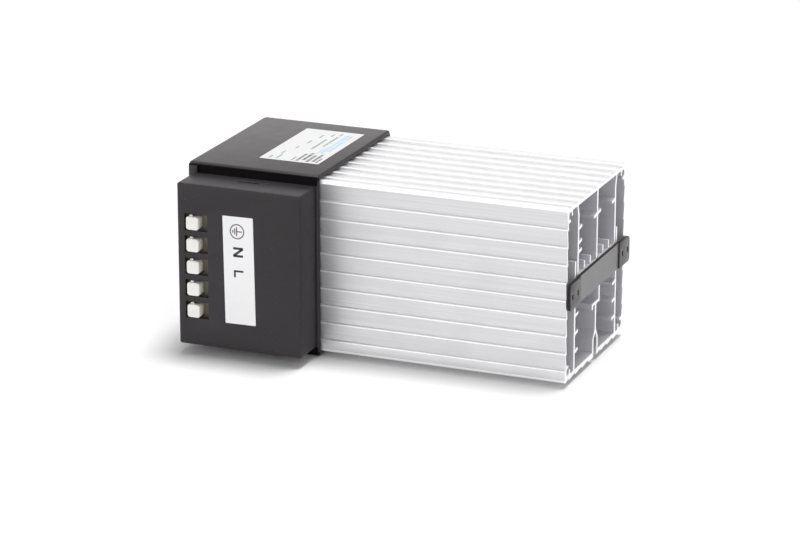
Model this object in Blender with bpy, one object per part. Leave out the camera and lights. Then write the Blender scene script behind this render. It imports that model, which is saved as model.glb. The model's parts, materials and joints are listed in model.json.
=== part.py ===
"""Fan-driven enclosure heater for a 35 mm mounting rail, lying on its side.

X runs from the air inlet end (a moulded cap with a fan) to the open outlet end of
a ridged aluminium profile. The terminals face -Y, the rail clip faces +Y, Z is up.
All sizes are in metres.
"""
import math

import bmesh
import bpy
from mathutils import Matrix, Vector

# Fits
GAP = 0.0003
SLIDE_GAP = 0.00025
SHAFT_GAP = 0.00015

# Aluminium profile: outer size and lengths
PROFILE_DEPTH = 0.0804
PROFILE_HEIGHT = 0.0804
PROFILE_VISIBLE = 0.116
PROFILE_INSERT = 0.018
CORNER_RADIUS = 0.0016

# Lapped ridges on the four outer faces
RIDGE_DEPTH = 0.0011
RIDGE_LIP = 0.00075
SIDE_RIDGE_FIRST = 0.0062
SIDE_RIDGE_PITCH = 0.00812
TOP_RIDGE_FIRST = 0.0058
TOP_RIDGE_PITCH = 0.0086

# Walls and webs of the profile's section
SIDE_WALL = 0.0014
TOP_WALL = 0.0026
WEB = 0.0015
PLATE = 0.0016
FIN = 0.0011
BARB_REACH = 0.0039
BARB_THICK = 0.0015
BARB_RISE = 0.0006

# Webs of the section: insets from its faces, the middle web's shift from the middle
FRONT_WEB_INSET = 0.0156
BACK_WEB_INSET = 0.0145
MIDDLE_WEB_SHIFT = 0.0008
FRONT_GUIDE_OFFSET = 0.0031
BACK_GUIDE_OFFSET = 0.0026
GUIDE_RISE = 0.0085
UPPER_BARB_DROPS = (0.0244, 0.0201, 0.0136)
LOWER_BARB_DROP = 0.0069
LOWER_BARB_PITCH = 0.0084
SHORT_FINS = 2
SHORT_FIN_HEIGHT = 0.0040

# Chamber of the heating element, between the two combs of the section
CHAMBER_DROP = 0.0007

# Slot in the underside and the offset of the lower middle web
SLOT_WIDTH = 0.0042
SLOT_HEIGHT = 0.0086
SLOT_PEAK = 0.0028
OFFSET_WEB = 0.0045
OFFSET_DROP = 0.0099
OFFSET_HOOK = 0.0045

# Heating element
STONE_COUNT = 4
STONE_THICK = 0.0038
ELECTRODE_THICK = 0.0012
INSULATOR_THICK = 0.0010
INSULATOR_MARGIN = 0.0010
ELECTRODE_MARGIN = 0.0020
STONE_MARGIN = 0.0020
STONE_SPACE = 0.0010
ELECTRODE_INSET = 0.0020
TAB_LENGTH = 0.0080
TAB_WIDTH = 0.0063
TAB_INSET = 0.0090

# Bar across the outlet end
BAR_PROUD = 0.0020
BAR_HEIGHT = 0.0120
BAR_FRONT_INSET = 0.0004
BAR_BACK_REACH = 0.0014
BAR_BLOCK = 0.0142
BAR_RECESS = 0.0007
BAR_PLUG_DEPTH = 0.0040
BAR_HOLE_WIDTH = 0.0015
BAR_HOLE_HEIGHT = 0.0023
BAR_HOLE_INSET = 0.0030
BAR_HOLE_SPACE = 0.0071
BAR_CORNER = 0.0020

# Fan
BORE_STEPS = 40
FAN_ROOM = 0.0002
FAN_DEPTH = 0.0250
FAN_BORE_WALL = 0.0020
FAN_FLANGE = 0.0036
FAN_RING_WALL = 0.0013
STRUTS = 4
STRUT_WIDTH = 0.0042
STRUT_THICK = 0.0026
MOTOR_BASE_RADIUS = 0.0155
HUB_RADIUS = 0.0175
HUB_WALL = 0.0012
HUB_BACK_GAP = 0.0022
BLADE_COUNT = 7
BLADE_TIP_GAP = 0.0011
BLADE_THICK = 0.0013
BLADE_ROOT_ANGLE = 50.0
BLADE_TIP_ANGLE = 28.0
BLADE_CHORD = 0.0165
BLADE_SWEEP = 9.0
BLADE_CAMBER = 0.0015
BLADE_STEPS = 4
SHAFT_RADIUS = 0.0015
BEARING_RADIUS = 0.0035
BEARING_LENGTH = 0.0110
MAGNET_THICK = 0.0013
STATOR_THICK = 0.0060
STATOR_POLES = 4
STATOR_YOKE = 2.0
STATOR_NECK = 0.80
STATOR_TOOTH = 0.20
STATOR_SHOE = 0.84
BOARD_THICK = 0.0010
HUB_SETBACK = 0.0022
HUB_EDGE = 0.0015

# Cap round the fan
CAP_WALL = 0.0020
CAP_END_WALL = 0.0036
CAP_EDGE_RADIUS = 0.0026
CAP_END_RADIUS = 0.0015
RIM_TAPER = 0.0006
RIM_EDGE = 0.0010
POCKET_INSET = 0.0047
POCKET_HEIGHT = 0.0035
POCKET_DEPTH = 0.0014
LEAD_SLOT_INSET = 0.0030
LEAD_SLOT_HEIGHT = 0.0240
GUARD_THICK = 0.0020
GUARD_SEAT = 0.0012
GUARD_HUB_RADIUS = 0.0090
GUARD_RING_WIDTH = 0.0017
GUARD_SLOT_WIDTH = 0.0037
GUARD_SPOKE_WIDTH = 0.0024
GUARD_SPOKES = 4
GUARD_FACET = 0.0050
SPACER_WALL = 0.0020
SPACER_LENGTH = 0.0165

# Case screws, from the inlet end through the fan into the profile's corner ports
PORT_INSET = 0.00445
PORT_WALL = 0.0012
PORT_MOUTH = 70.0
SCREW_RADIUS = 0.0015
SCREW_HEAD_RADIUS = 0.0028
SCREW_HEAD_HEIGHT = 0.0018
SCREW_ROOM = 0.0005
SCREW_BITE = 0.0120
SCREW_CROSS = 0.0008

# Terminal cover on the cap's front
COVER_WALL = 0.0018
COVER_INSET = 0.0029
COVER_RIM_INSET = 0.0013
COVER_MARGIN = 0.0048
COVER_EDGE_RADIUS = 0.0009
WINDOW_LENGTH = 0.0111
WINDOW_ROOM = 0.00035
WINDOW_SIDE_ROOM = 0.00095
LATCH_LENGTH = 0.0108
LATCH_INSET = 0.0241
LATCH_SLOT = 0.0016
LATCH_Y = 0.0123
TONGUE_THICK = 0.0014
TONGUE_END_ROOM = 0.0017

# Terminals
POLE_COUNT = 5
POLE_PITCH = 0.01027
POLE_SPACE = 0.00047
POLE_LENGTH = 0.0170
POLE_FACE = 0.0035
POLE_DROP = 0.0010
BUTTON_SIZE = 0.0061
BUTTON_INSET = 0.0054
BUTTON_PROUD = 0.0006
BUTTON_GUIDE = 0.0058
BUTTON_TRAVEL = 0.0020
BUTTON_FOOT = 0.0007
BUTTON_FOOT_LENGTH = 0.0036
BUTTON_NUB = 0.0008
BUTTON_NUB_SIDE = 0.0009
BUTTON_NUB_WIDTH = 0.0013
BUTTON_NUB_LENGTH = 0.0008
BUTTON_CORNER = 0.0012
BUTTON_EDGE = 0.0004
POLE_FLOOR = 0.0022
CAVITY_WIDTH = 0.0050
CAVITY_WALL = 0.0020
ENTRY_RADIUS = 0.0017
SPRING_THICK = 0.0004
SPRING_RISE = 0.0013
CONTACT_THICK = 0.0008
CONTACT_WIDTH = 0.0030
CONTACT_TAB = 0.0040

# Thermal cut-out on the spacer's back wall
CUTOUT_RADIUS = 0.0068
CUTOUT_HEIGHT = 0.0062
CUTOUT_SHOULDER = 0.0037
CUTOUT_NECK = 0.0054

# Clip for a 35 mm rail on the profile's back
RAIL_WIDTH = 0.0350
RAIL_THICK = 0.0010
CLIP_CENTRE = 0.0520
CLIP_WIDTH = 0.0220
CLIP_BASE = 0.0020
CLIP_LIP = 0.0012
CLIP_HOOK = 0.0026
CLIP_WALL = 0.0030
CLIP_TAB = 0.0055
CLIP_FLEX = 0.0006
CLIP_SCREW_SPACE = 0.0140
CLIP_SCREW_RADIUS = 0.0013
CLIP_SCREW_HEAD = 0.0024
CLIP_SCREW_HEAD_HEIGHT = 0.0010
CLIP_SCREW_LENGTH = 0.0070

# Leads inside the cap
LEAD_RADIUS = 0.0009
LEAD_REACH = 0.0050
LEAD_SPREAD = 0.0050
EARTH_RISE = 0.0152

# Sizes and places worked out from the sizes above
WELL_DEPTH = BUTTON_GUIDE + BUTTON_TRAVEL + GAP
CAVITY_DEPTH = BUTTON_FOOT + SPRING_RISE + CONTACT_THICK + 2 * GAP
COVER_PROUD = POLE_FACE + WELL_DEPTH + CAVITY_DEPTH + POLE_FLOOR + GAP
CAP_LENGTH = CAP_END_WALL + FAN_DEPTH + SPACER_LENGTH + PROFILE_INSERT + 3 * GAP
CAP_DEPTH = PROFILE_DEPTH + 2 * (CAP_WALL + GAP)
CAP_HEIGHT = PROFILE_HEIGHT + 2 * (CAP_WALL + GAP)
CLIP_REACH = GAP + CLIP_BASE + RAIL_THICK + GAP + CLIP_LIP
FRONT_PROUD = COVER_PROUD + BUTTON_PROUD
CAP_FRONT_Y = -0.5 * (FRONT_PROUD + CAP_DEPTH + CLIP_REACH - CAP_WALL - GAP) + FRONT_PROUD
COVER_FACE_Y = CAP_FRONT_Y - COVER_PROUD
PROFILE_FRONT_Y = CAP_FRONT_Y + CAP_WALL + GAP
PROFILE_BACK_Y = PROFILE_FRONT_Y + PROFILE_DEPTH
PROFILE_BOTTOM_Z = CAP_WALL + GAP
CENTRE_Y = PROFILE_FRONT_Y + PROFILE_DEPTH / 2
CENTRE_Z = CAP_HEIGHT / 2
INLET_X = -0.5 * (CAP_LENGTH + PROFILE_VISIBLE + BAR_PROUD)
RIM_X = INLET_X + CAP_LENGTH
OUTLET_X = RIM_X + PROFILE_VISIBLE
PROFILE_INLET_X = RIM_X - PROFILE_INSERT
PROFILE_LENGTH = OUTLET_X - PROFILE_INLET_X
FAN_INLET_X = INLET_X + CAP_END_WALL + GAP
FAN_OUTLET_X = FAN_INLET_X + FAN_DEPTH
COVER_X = INLET_X + COVER_INSET
POLE_X = COVER_X + COVER_WALL + GAP
COVER_LENGTH = CAP_LENGTH - COVER_INSET - COVER_RIM_INSET
COVER_HEIGHT = CAP_HEIGHT - 2 * COVER_MARGIN
POLE_FACE_Y = COVER_FACE_Y + POLE_FACE
POLE_WIDTH = POLE_PITCH - POLE_SPACE
ENTRY_DEPTH = WELL_DEPTH + ENTRY_RADIUS
WINDOW_X = POLE_X + BUTTON_INSET - BUTTON_SIZE / 2 - WINDOW_SIDE_ROOM
WINDOW_HEIGHT = BUTTON_SIZE + BUTTON_NUB + 2 * WINDOW_ROOM
FAN_BORE_RADIUS = min(PROFILE_DEPTH, PROFILE_HEIGHT) / 2 - FAN_ROOM - FAN_BORE_WALL
HUB_LENGTH = FAN_DEPTH - HUB_SETBACK - STRUT_THICK - HUB_BACK_GAP
PORT_RADIUS = SCREW_RADIUS + GAP
SCREW_HOLE_RADIUS = SCREW_RADIUS + SCREW_ROOM
FRONT_WEB_Y = FRONT_WEB_INSET
BACK_WEB_Y = PROFILE_DEPTH - BACK_WEB_INSET
MIDDLE_WEB_Y = PROFILE_DEPTH / 2 + MIDDLE_WEB_SHIFT
CHAMBER_HEIGHT = 2 * (INSULATOR_THICK + ELECTRODE_THICK) + STONE_THICK + 6 * GAP
CHAMBER_FLOOR_Z = (PROFILE_HEIGHT - CHAMBER_HEIGHT) / 2 - CHAMBER_DROP
CHAMBER_TOP_Z = CHAMBER_FLOOR_Z + CHAMBER_HEIGHT
GUIDE_TOP_Z = CHAMBER_TOP_Z + GUIDE_RISE
OFFSET_Z = CHAMBER_FLOOR_Z - OFFSET_DROP
INSULATOR_WIDTH = BACK_WEB_Y - FRONT_WEB_Y - 2 * INSULATOR_MARGIN
ELECTRODE_WIDTH = INSULATOR_WIDTH - 2 * ELECTRODE_MARGIN
STONE_WIDTH = ELECTRODE_WIDTH - 2 * STONE_MARGIN


def clear_scene():
    for old in list(bpy.data.objects):
        bpy.data.objects.remove(old, do_unlink=True)


def make_material(name, colour, roughness, metallic=0.0):
    made = bpy.data.materials.new(name)
    made.use_nodes = True
    shader = made.node_tree.nodes["Principled BSDF"]
    shader.inputs["Base Color"].default_value = (*colour, 1.0)
    shader.inputs["Roughness"].default_value = roughness
    shader.inputs["Metallic"].default_value = metallic
    made.diffuse_color = (*colour, 1.0)
    return made


def add_object(name, mesh, material, location=(0, 0, 0), parent=None):
    made = bpy.data.objects.new(name, mesh)
    bpy.context.scene.collection.objects.link(made)
    if not mesh.materials:
        mesh.materials.append(material)
    made.location = location
    if parent is not None:
        made.parent = parent
    return made


def add_cutter(name, mesh, location=(0, 0, 0), parent=None):
    made = bpy.data.objects.new(name, mesh)
    bpy.context.scene.collection.objects.link(made)
    made.location = location
    made.hide_render = True
    made.display_type = "WIRE"
    if parent is not None:
        made.parent = parent
    return made


def add_boolean(target, tool, operation="DIFFERENCE"):
    step = target.modifiers.new(tool.name, "BOOLEAN")
    step.operation = operation
    step.solver = "EXACT"
    step.object = tool
    return step


def finish_mesh(bm, name, smooth_angle=None):
    bmesh.ops.recalc_face_normals(bm, faces=bm.faces)
    mesh = bpy.data.meshes.new(name)
    bm.to_mesh(mesh)
    bm.free()
    if smooth_angle is not None:
        mesh.shade_smooth()
        mesh.set_sharp_from_angle(angle=math.radians(smooth_angle))
    return mesh


def rectangle(low_a, high_a, low_b, high_b):
    return [(low_a, low_b), (high_a, low_b), (high_a, high_b), (low_a, high_b)]


def arc(centre, radius, start, end, steps):
    points = []
    for step in range(steps + 1):
        angle = math.radians(start + (end - start) * step / steps)
        points.append((centre[0] + radius * math.cos(angle), centre[1] + radius * math.sin(angle)))
    return points


def circle(centre, radius, steps):
    return arc(centre, radius, 0, 360, steps)[:-1]


def rounded_rectangle(low_a, high_a, low_b, high_b, radius, steps=4):
    points = arc((high_a - radius, low_b + radius), radius, -90, 0, steps)
    points += arc((high_a - radius, high_b - radius), radius, 0, 90, steps)
    points += arc((low_a + radius, high_b - radius), radius, 90, 180, steps)
    points += arc((low_a + radius, low_b + radius), radius, 180, 270, steps)
    return points


def place(point, axis, along):
    """Turns a flat point and a distance along the axis into a point in space."""
    first, second = point
    if axis == "X":
        return Vector((along, first, second))
    if axis == "Y":
        return Vector((first, along, second))
    return Vector((first, second, along))


def extrude_loops(bm, loops, axis, start, end):
    """Adds the prism of an outline, given first, and its holes."""
    edges = []
    for loop in loops:
        corners = [bm.verts.new(place(point, axis, start)) for point in loop]
        for index, corner in enumerate(corners):
            edges.append(bm.edges.new((corner, corners[(index + 1) % len(corners)])))
    filled = bmesh.ops.triangle_fill(bm, use_beauty=True, use_dissolve=False, edges=edges)
    faces = [item for item in filled["geom"] if isinstance(item, bmesh.types.BMFace)]
    pushed = bmesh.ops.extrude_face_region(bm, geom=faces)
    moved = [item for item in pushed["geom"] if isinstance(item, bmesh.types.BMVert)]
    bmesh.ops.translate(bm, vec=place((0, 0), axis, end - start), verts=moved)
    return moved


def prism(name, loops, axis, start, end, smooth_angle=None):
    bm = bmesh.new()
    extrude_loops(bm, loops, axis, start, end)
    return finish_mesh(bm, name, smooth_angle)


def prisms(name, parts, smooth_angle=None):
    """One mesh of several prisms, each given as loops, axis, start and end."""
    bm = bmesh.new()
    for loops, axis, start, end in parts:
        extrude_loops(bm, loops, axis, start, end)
    return finish_mesh(bm, name, smooth_angle)


def turned(name, outline, steps, smooth_angle=30):
    """A body turned about X from an outline of points (x, radius), in order."""
    bm = bmesh.new()
    rings = []
    for along, radius in outline:
        if radius == 0:
            rings.append([bm.verts.new((along, 0, 0))])
        else:
            loop = circle((0, 0), radius, steps)
            rings.append([bm.verts.new(place(point, "X", along)) for point in loop])
    pairs = list(zip(rings, rings[1:]))
    if outline[0][1] != 0 or outline[-1][1] != 0:
        pairs.append((rings[-1], rings[0]))
    for near, far in pairs:
        for step in range(steps):
            after = (step + 1) % steps
            corners = []
            for corner in (near[step % len(near)], near[after % len(near)],
                           far[after % len(far)], far[step % len(far)]):
                if corner not in corners:
                    corners.append(corner)
            if len(corners) > 2:
                bm.faces.new(corners)
    return finish_mesh(bm, name, smooth_angle)


def ribbon(points, thickness):
    """The outline of a bent strip of even thickness along a line of points."""
    left = []
    right = []
    for index, point in enumerate(points):
        here = Vector(point)
        before = Vector(points[max(index - 1, 0)])
        after = Vector(points[min(index + 1, len(points) - 1)])
        into = (here - before).normalized() if index > 0 else (after - here).normalized()
        out = (after - here).normalized() if index < len(points) - 1 else into
        normal_in = Vector((-into.y, into.x))
        normal_out = Vector((-out.y, out.x))
        mean = (normal_in + normal_out).normalized()
        reach = thickness / 2 / max(mean.dot(normal_in), 0.5)
        left.append(tuple(here + mean * reach))
        right.append(tuple(here - mean * reach))
    return left + right[::-1]


def side_ridges():
    count = int((PROFILE_HEIGHT - SIDE_RIDGE_FIRST - CORNER_RADIUS) / SIDE_RIDGE_PITCH) + 1
    return [SIDE_RIDGE_FIRST + SIDE_RIDGE_PITCH * index for index in range(count)]


def top_ridges():
    count = int((PROFILE_DEPTH - TOP_RIDGE_FIRST - CORNER_RADIUS) / TOP_RIDGE_PITCH) + 1
    return [TOP_RIDGE_FIRST + TOP_RIDGE_PITCH * index for index in range(count)]


def lip(edge, inward, start):
    """Rounded lip of a ridge whose corner is edge, where inward points to the arc's centre."""
    centre = (edge[0] + inward[0] * RIDGE_LIP, edge[1] + inward[1] * RIDGE_LIP)
    return arc(centre, RIDGE_LIP, start, start + 90, 3)


def profile_outline():
    """Outer outline, counter-clockwise from the front bottom corner, (y, z)."""
    depth, height, radius = PROFILE_DEPTH, PROFILE_HEIGHT, CORNER_RADIUS
    slot_low = MIDDLE_WEB_Y - SLOT_WIDTH / 2
    slot_high = MIDDLE_WEB_Y + SLOT_WIDTH / 2
    slot = [(slot_low, 0), (slot_low, SLOT_HEIGHT), (MIDDLE_WEB_Y, SLOT_HEIGHT + SLOT_PEAK),
            (slot_high, SLOT_HEIGHT), (slot_high, 0)]
    points = arc((radius, radius), radius, 180, 270, 3)
    for ridge in top_ridges():
        if slot_low - FIN < ridge < slot_high + FIN:
            continue
        if ridge > slot_high and slot:
            points += slot
            slot = []
        points += [(ridge, RIDGE_DEPTH)] + lip((ridge, 0), (1, 1), 180)
    points += arc((depth - radius, radius), radius, 270, 360, 3)
    for ridge in side_ridges():
        points += lip((depth, ridge), (-1, -1), 0) + [(depth - RIDGE_DEPTH, ridge)]
    points += arc((depth - radius, height - radius), radius, 0, 90, 3)
    for ridge in reversed(top_ridges()):
        points += lip((ridge, height), (1, -1), 90) + [(ridge, height - RIDGE_DEPTH)]
    points += arc((radius, height - radius), radius, 90, 180, 3)
    for ridge in reversed(side_ridges()):
        points += [(RIDGE_DEPTH, ridge)] + lip((0, ridge), (1, -1), 90)
    return points


def corner_port(side_y, side_z):
    """Screw port with its mouth towards the middle, from the side wall to the top wall."""
    centre_y = PORT_INSET if side_y < 0 else PROFILE_DEPTH - PORT_INSET
    centre_z = PROFILE_HEIGHT - PORT_INSET if side_z > 0 else PORT_INSET
    outer = PORT_RADIUS + PORT_WALL
    flip_y = -side_y
    flip_z = -side_z
    points = [(PORT_RADIUS * math.cos(math.radians(PORT_MOUTH)), outer)]
    points += arc((0, 0), PORT_RADIUS, PORT_MOUTH, 450 - PORT_MOUTH, 14)
    points.append((outer, PORT_RADIUS * math.cos(math.radians(PORT_MOUTH))))
    return [(centre_y + flip_y * along, centre_z + flip_z * up) for along, up in points]


def inner_wall(side_y, low_z, high_z):
    """Inner face of the front or back wall, stepped behind each outer ridge, upwards."""
    face = SIDE_WALL if side_y < 0 else PROFILE_DEPTH - SIDE_WALL
    deep = face - side_y * RIDGE_DEPTH
    points = []
    for ridge in side_ridges():
        step = ridge - SIDE_WALL
        if low_z + FIN < step < high_z - FIN:
            points += [(face, step), (deep, step)]
    first = [(deep, low_z)]
    last = [(deep, high_z)]
    return first + points + last


def barbs(face, side, heights, rise=BARB_RISE):
    """Small hooked ribs on the face of a web, upwards."""
    points = []
    for height in heights:
        tip = face + side * BARB_REACH
        points += [(face, height - BARB_THICK / 2), (tip, height - BARB_THICK / 2 + rise),
                   (tip, height + BARB_THICK / 2 + rise), (face, height + BARB_THICK / 2)]
    return points


def side_columns_and_chamber():
    """The one hole that runs up both side columns and through the element's chamber."""
    top = PROFILE_HEIGHT - TOP_WALL
    port_top = PROFILE_HEIGHT - PORT_INSET - PORT_RADIUS - PORT_WALL
    port_bottom = PORT_INSET + PORT_RADIUS + PORT_WALL
    front_face = FRONT_WEB_Y - WEB / 2
    back_face = BACK_WEB_Y + WEB / 2
    front_guide = FRONT_WEB_Y - FRONT_GUIDE_OFFSET
    back_guide = BACK_WEB_Y + BACK_GUIDE_OFFSET
    points = inner_wall(-1, port_bottom, port_top)
    points += corner_port(-1, 1)
    port_right = PORT_INSET + PORT_RADIUS + PORT_WALL
    points += [(port_right, top), (front_face - WEB, top), (front_face, top - 3 * WEB)]
    points += [(front_face, CHAMBER_TOP_Z), (back_face, CHAMBER_TOP_Z)]
    points += [(back_face, top - 3 * WEB), (back_face + WEB, top)]
    points += [(PROFILE_DEPTH - port_right, top)]
    points += corner_port(1, 1)[::-1]
    points += inner_wall(1, port_bottom, port_top)[::-1]
    points += corner_port(1, -1)
    points += [(PROFILE_DEPTH - port_right, TOP_WALL), (back_guide + WEB / 2, TOP_WALL)]
    points += [(back_guide + WEB / 2, GUIDE_TOP_Z), (back_guide - WEB / 2, GUIDE_TOP_Z)]
    points += [(back_guide - WEB / 2, CHAMBER_FLOOR_Z), (front_guide + WEB / 2, CHAMBER_FLOOR_Z)]
    points += [(front_guide + WEB / 2, GUIDE_TOP_Z), (front_guide - WEB / 2, GUIDE_TOP_Z)]
    points += [(front_guide - WEB / 2, TOP_WALL), (port_right, TOP_WALL)]
    points += corner_port(-1, -1)[::-1]
    return points


def upper_channels():
    """The two channels above the heating element, each with short fins on its floor."""
    top = PROFILE_HEIGHT - TOP_WALL
    floor = CHAMBER_TOP_Z + PLATE
    front = FRONT_WEB_Y + WEB / 2
    middle_front = MIDDLE_WEB_Y - WEB / 2
    middle_back = MIDDLE_WEB_Y + WEB / 2
    back = BACK_WEB_Y - WEB / 2
    heights = [PROFILE_HEIGHT - drop for drop in UPPER_BARB_DROPS]
    cross_z = heights[-1:]
    channels = []
    for low, high in ((front, middle_front), (middle_back, back)):
        points = [(low, floor)]
        for index in range(SHORT_FINS):
            fin = low + (high - low) * (index + 1) / (SHORT_FINS + 1)
            points += [(fin - FIN / 2, floor), (fin - FIN / 2, floor + SHORT_FIN_HEIGHT),
                       (fin + FIN / 2, floor + SHORT_FIN_HEIGHT), (fin + FIN / 2, floor)]
        points.append((high, floor))
        points += barbs(high, -1, cross_z, -BARB_RISE)
        if high == back:
            points += [(high, top - 3 * WEB), (high + WEB, top)]
        else:
            points.append((high, top))
        if low == front:
            points += [(low - WEB, top), (low, top - 3 * WEB)]
            points += barbs(low, 1, heights)[::-1]
        else:
            points.append((low, top))
            points += barbs(low, 1, cross_z)[::-1]
        channels.append(points)
    return channels


def lower_barb_heights():
    """Heights of the barbs on the lower webs, upwards."""
    highest = CHAMBER_FLOOR_Z - LOWER_BARB_DROP
    count = int((highest - TOP_WALL - BARB_THICK) / LOWER_BARB_PITCH) + 1
    return [highest - LOWER_BARB_PITCH * index for index in reversed(range(count))]


def lower_channels():
    """The two channels below the element, with the offset middle web between them."""
    roof = CHAMBER_FLOOR_Z - PLATE
    heights = lower_barb_heights()
    front = FRONT_WEB_Y - FRONT_GUIDE_OFFSET + WEB / 2
    back = BACK_WEB_Y + BACK_GUIDE_OFFSET - WEB / 2
    leg_front = MIDDLE_WEB_Y - SLOT_WIDTH / 2 - WEB
    leg_back = MIDDLE_WEB_Y + SLOT_WIDTH / 2 + WEB
    web_front = MIDDLE_WEB_Y - WEB / 2
    web_back = MIDDLE_WEB_Y + WEB / 2
    split = SLOT_HEIGHT + SLOT_PEAK + WEB
    offset = MIDDLE_WEB_Y + OFFSET_WEB
    hook = web_front - OFFSET_HOOK
    left = [(front, TOP_WALL), (leg_front, TOP_WALL), (leg_front, SLOT_HEIGHT), (web_front, split)]
    left += [(web_front, OFFSET_Z), (hook + WEB, OFFSET_Z), (hook + WEB, OFFSET_Z - WEB)]
    left += [(hook, OFFSET_Z - WEB), (hook, OFFSET_Z + WEB), (offset - WEB / 2, OFFSET_Z + WEB)]
    left += [(offset - WEB / 2, roof), (front, roof)]
    left += barbs(front, 1, heights)[::-1]
    right = [(leg_back, TOP_WALL), (back, TOP_WALL)]
    right += barbs(back, -1, heights, -BARB_RISE)
    right += [(back, roof), (offset + WEB / 2, roof), (offset + WEB / 2, OFFSET_Z)]
    right += [(web_back, OFFSET_Z), (web_back, split), (leg_back, SLOT_HEIGHT)]
    return [left, right]


def stack(name, rings, axis, smooth_angle=None):
    """A closed body through rings of equal point counts, given as (distance, outline)."""
    bm = bmesh.new()
    levels = []
    for along, loop in rings:
        levels.append([bm.verts.new(place(point, axis, along)) for point in loop])
    count = len(levels[0])
    for near, far in zip(levels, levels[1:]):
        for index in range(count):
            after = (index + 1) % count
            bm.faces.new((near[index], near[after], far[after], far[index]))
    bm.faces.new(levels[0])
    bm.faces.new(levels[-1])
    return finish_mesh(bm, name, smooth_angle)


def rounded_end_rings(limits, corner, edge, axis_range, steps=4):
    """Rings of a rounded box whose first end has a rounded edge."""
    low_a, high_a, low_b, high_b = limits
    start, end = axis_range
    way = 1 if end > start else -1
    rings = []
    for turn in (0, 30, 60, 90):
        inset = edge * (1 - math.sin(math.radians(turn)))
        along = start + way * edge * (1 - math.cos(math.radians(turn)))
        radius = max(corner - inset, corner * 0.3)
        inner = (low_a + inset, high_a - inset, low_b + inset, high_b - inset)
        rings.append((along, rounded_rectangle(*inner, radius, steps)))
    rings.append((end, rounded_rectangle(low_a, high_a, low_b, high_b, corner, steps)))
    return rings


def cut(target, name, parts, location=(0, 0, 0), operation="DIFFERENCE"):
    """Takes prisms away from the target, or joins them to it."""
    add_boolean(target, add_cutter(name, prisms(name, parts), location), operation)


def bake(made):
    """Applies the object's modifiers, so that copies can share the finished mesh."""
    graph = bpy.context.evaluated_depsgraph_get()
    finished = bpy.data.meshes.new_from_object(made.evaluated_get(graph))
    finished.name = made.name
    made.modifiers.clear()
    made.data = finished
    return finished


def corner_places():
    """The four screw axes, (y, z)."""
    reach_y = PROFILE_DEPTH / 2 - PORT_INSET
    reach_z = PROFILE_HEIGHT / 2 - PORT_INSET
    return [(CENTRE_Y + side_y * reach_y, CENTRE_Z + side_z * reach_z)
            for side_y in (-1, 1) for side_z in (-1, 1)]


def make_profile(aluminium):
    loops = [profile_outline(), side_columns_and_chamber()]
    loops += upper_channels()
    loops += lower_channels()
    mesh = prism("heatsink_profile", loops, "X", 0, PROFILE_LENGTH)
    corner = (PROFILE_INLET_X, PROFILE_FRONT_Y, PROFILE_BOTTOM_Z)
    made = add_object("heatsink_profile", mesh, aluminium, corner)
    holes = []
    for along in clip_screw_places():
        hole = circle((along, CENTRE_Z), CLIP_SCREW_RADIUS + GAP, 12)
        holes.append(([hole], "Y", PROFILE_BACK_Y - 3 * SIDE_WALL, PROFILE_BACK_Y + WEB))
    cut(made, "clip_screw_holes", holes)


def element_levels():
    """Heights of the underside of each layer in the chamber, bottom to top."""
    levels = []
    height = PROFILE_BOTTOM_Z + CHAMBER_FLOOR_Z
    for thick in (INSULATOR_THICK, ELECTRODE_THICK, STONE_THICK, ELECTRODE_THICK, INSULATOR_THICK):
        height += GAP
        levels.append((height, height + thick))
        height += thick
    return levels


def make_element(film, metal, ceramic):
    """The stack in the chamber: insulators outside, electrodes, and the stones between them."""
    middle = PROFILE_FRONT_Y + (FRONT_WEB_Y + BACK_WEB_Y) / 2
    start = PROFILE_INLET_X + ELECTRODE_INSET
    end = OUTLET_X - BAR_PLUG_DEPTH - GAP
    levels = element_levels()
    half = INSULATOR_WIDTH / 2
    sheet = rectangle(start - ELECTRODE_INSET / 2, end, middle - half, middle + half)
    for name, level in (("lower_insulator", levels[0]), ("upper_insulator", levels[4])):
        add_object(name, prism(name, [sheet], "Z", *level), film)
    for name, level, side in (("lower_electrode", levels[1], -1), ("upper_electrode", levels[3], 1)):
        low = middle - ELECTRODE_WIDTH / 2
        high = middle + ELECTRODE_WIDTH / 2
        tab = middle + side * (ELECTRODE_WIDTH / 2 - TAB_INSET)
        tip = start - TAB_LENGTH
        outline = [(start, low), (end - GAP, low), (end - GAP, high), (start, high)]
        outline += [(start, tab + TAB_WIDTH / 2), (tip + CONTACT_THICK, tab + TAB_WIDTH / 2),
                    (tip, tab + TAB_WIDTH / 2 - CONTACT_THICK), (tip, tab - TAB_WIDTH / 2 + CONTACT_THICK),
                    (tip + CONTACT_THICK, tab - TAB_WIDTH / 2), (start, tab - TAB_WIDTH / 2)]
        add_object(name, prism(name, [outline], "Z", *level), metal)
    room = end - GAP - start
    length = (room - (STONE_COUNT - 1) * STONE_SPACE) / STONE_COUNT
    outline = rectangle(0, length, -STONE_WIDTH / 2, STONE_WIDTH / 2)
    mesh = prism("heating_stone", [outline], "Z", 0, STONE_THICK)
    for index in range(STONE_COUNT):
        along = start + index * (length + STONE_SPACE)
        add_object(f"heating_stone_{index + 1}", mesh, ceramic, (along, middle, levels[2][0]))


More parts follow.
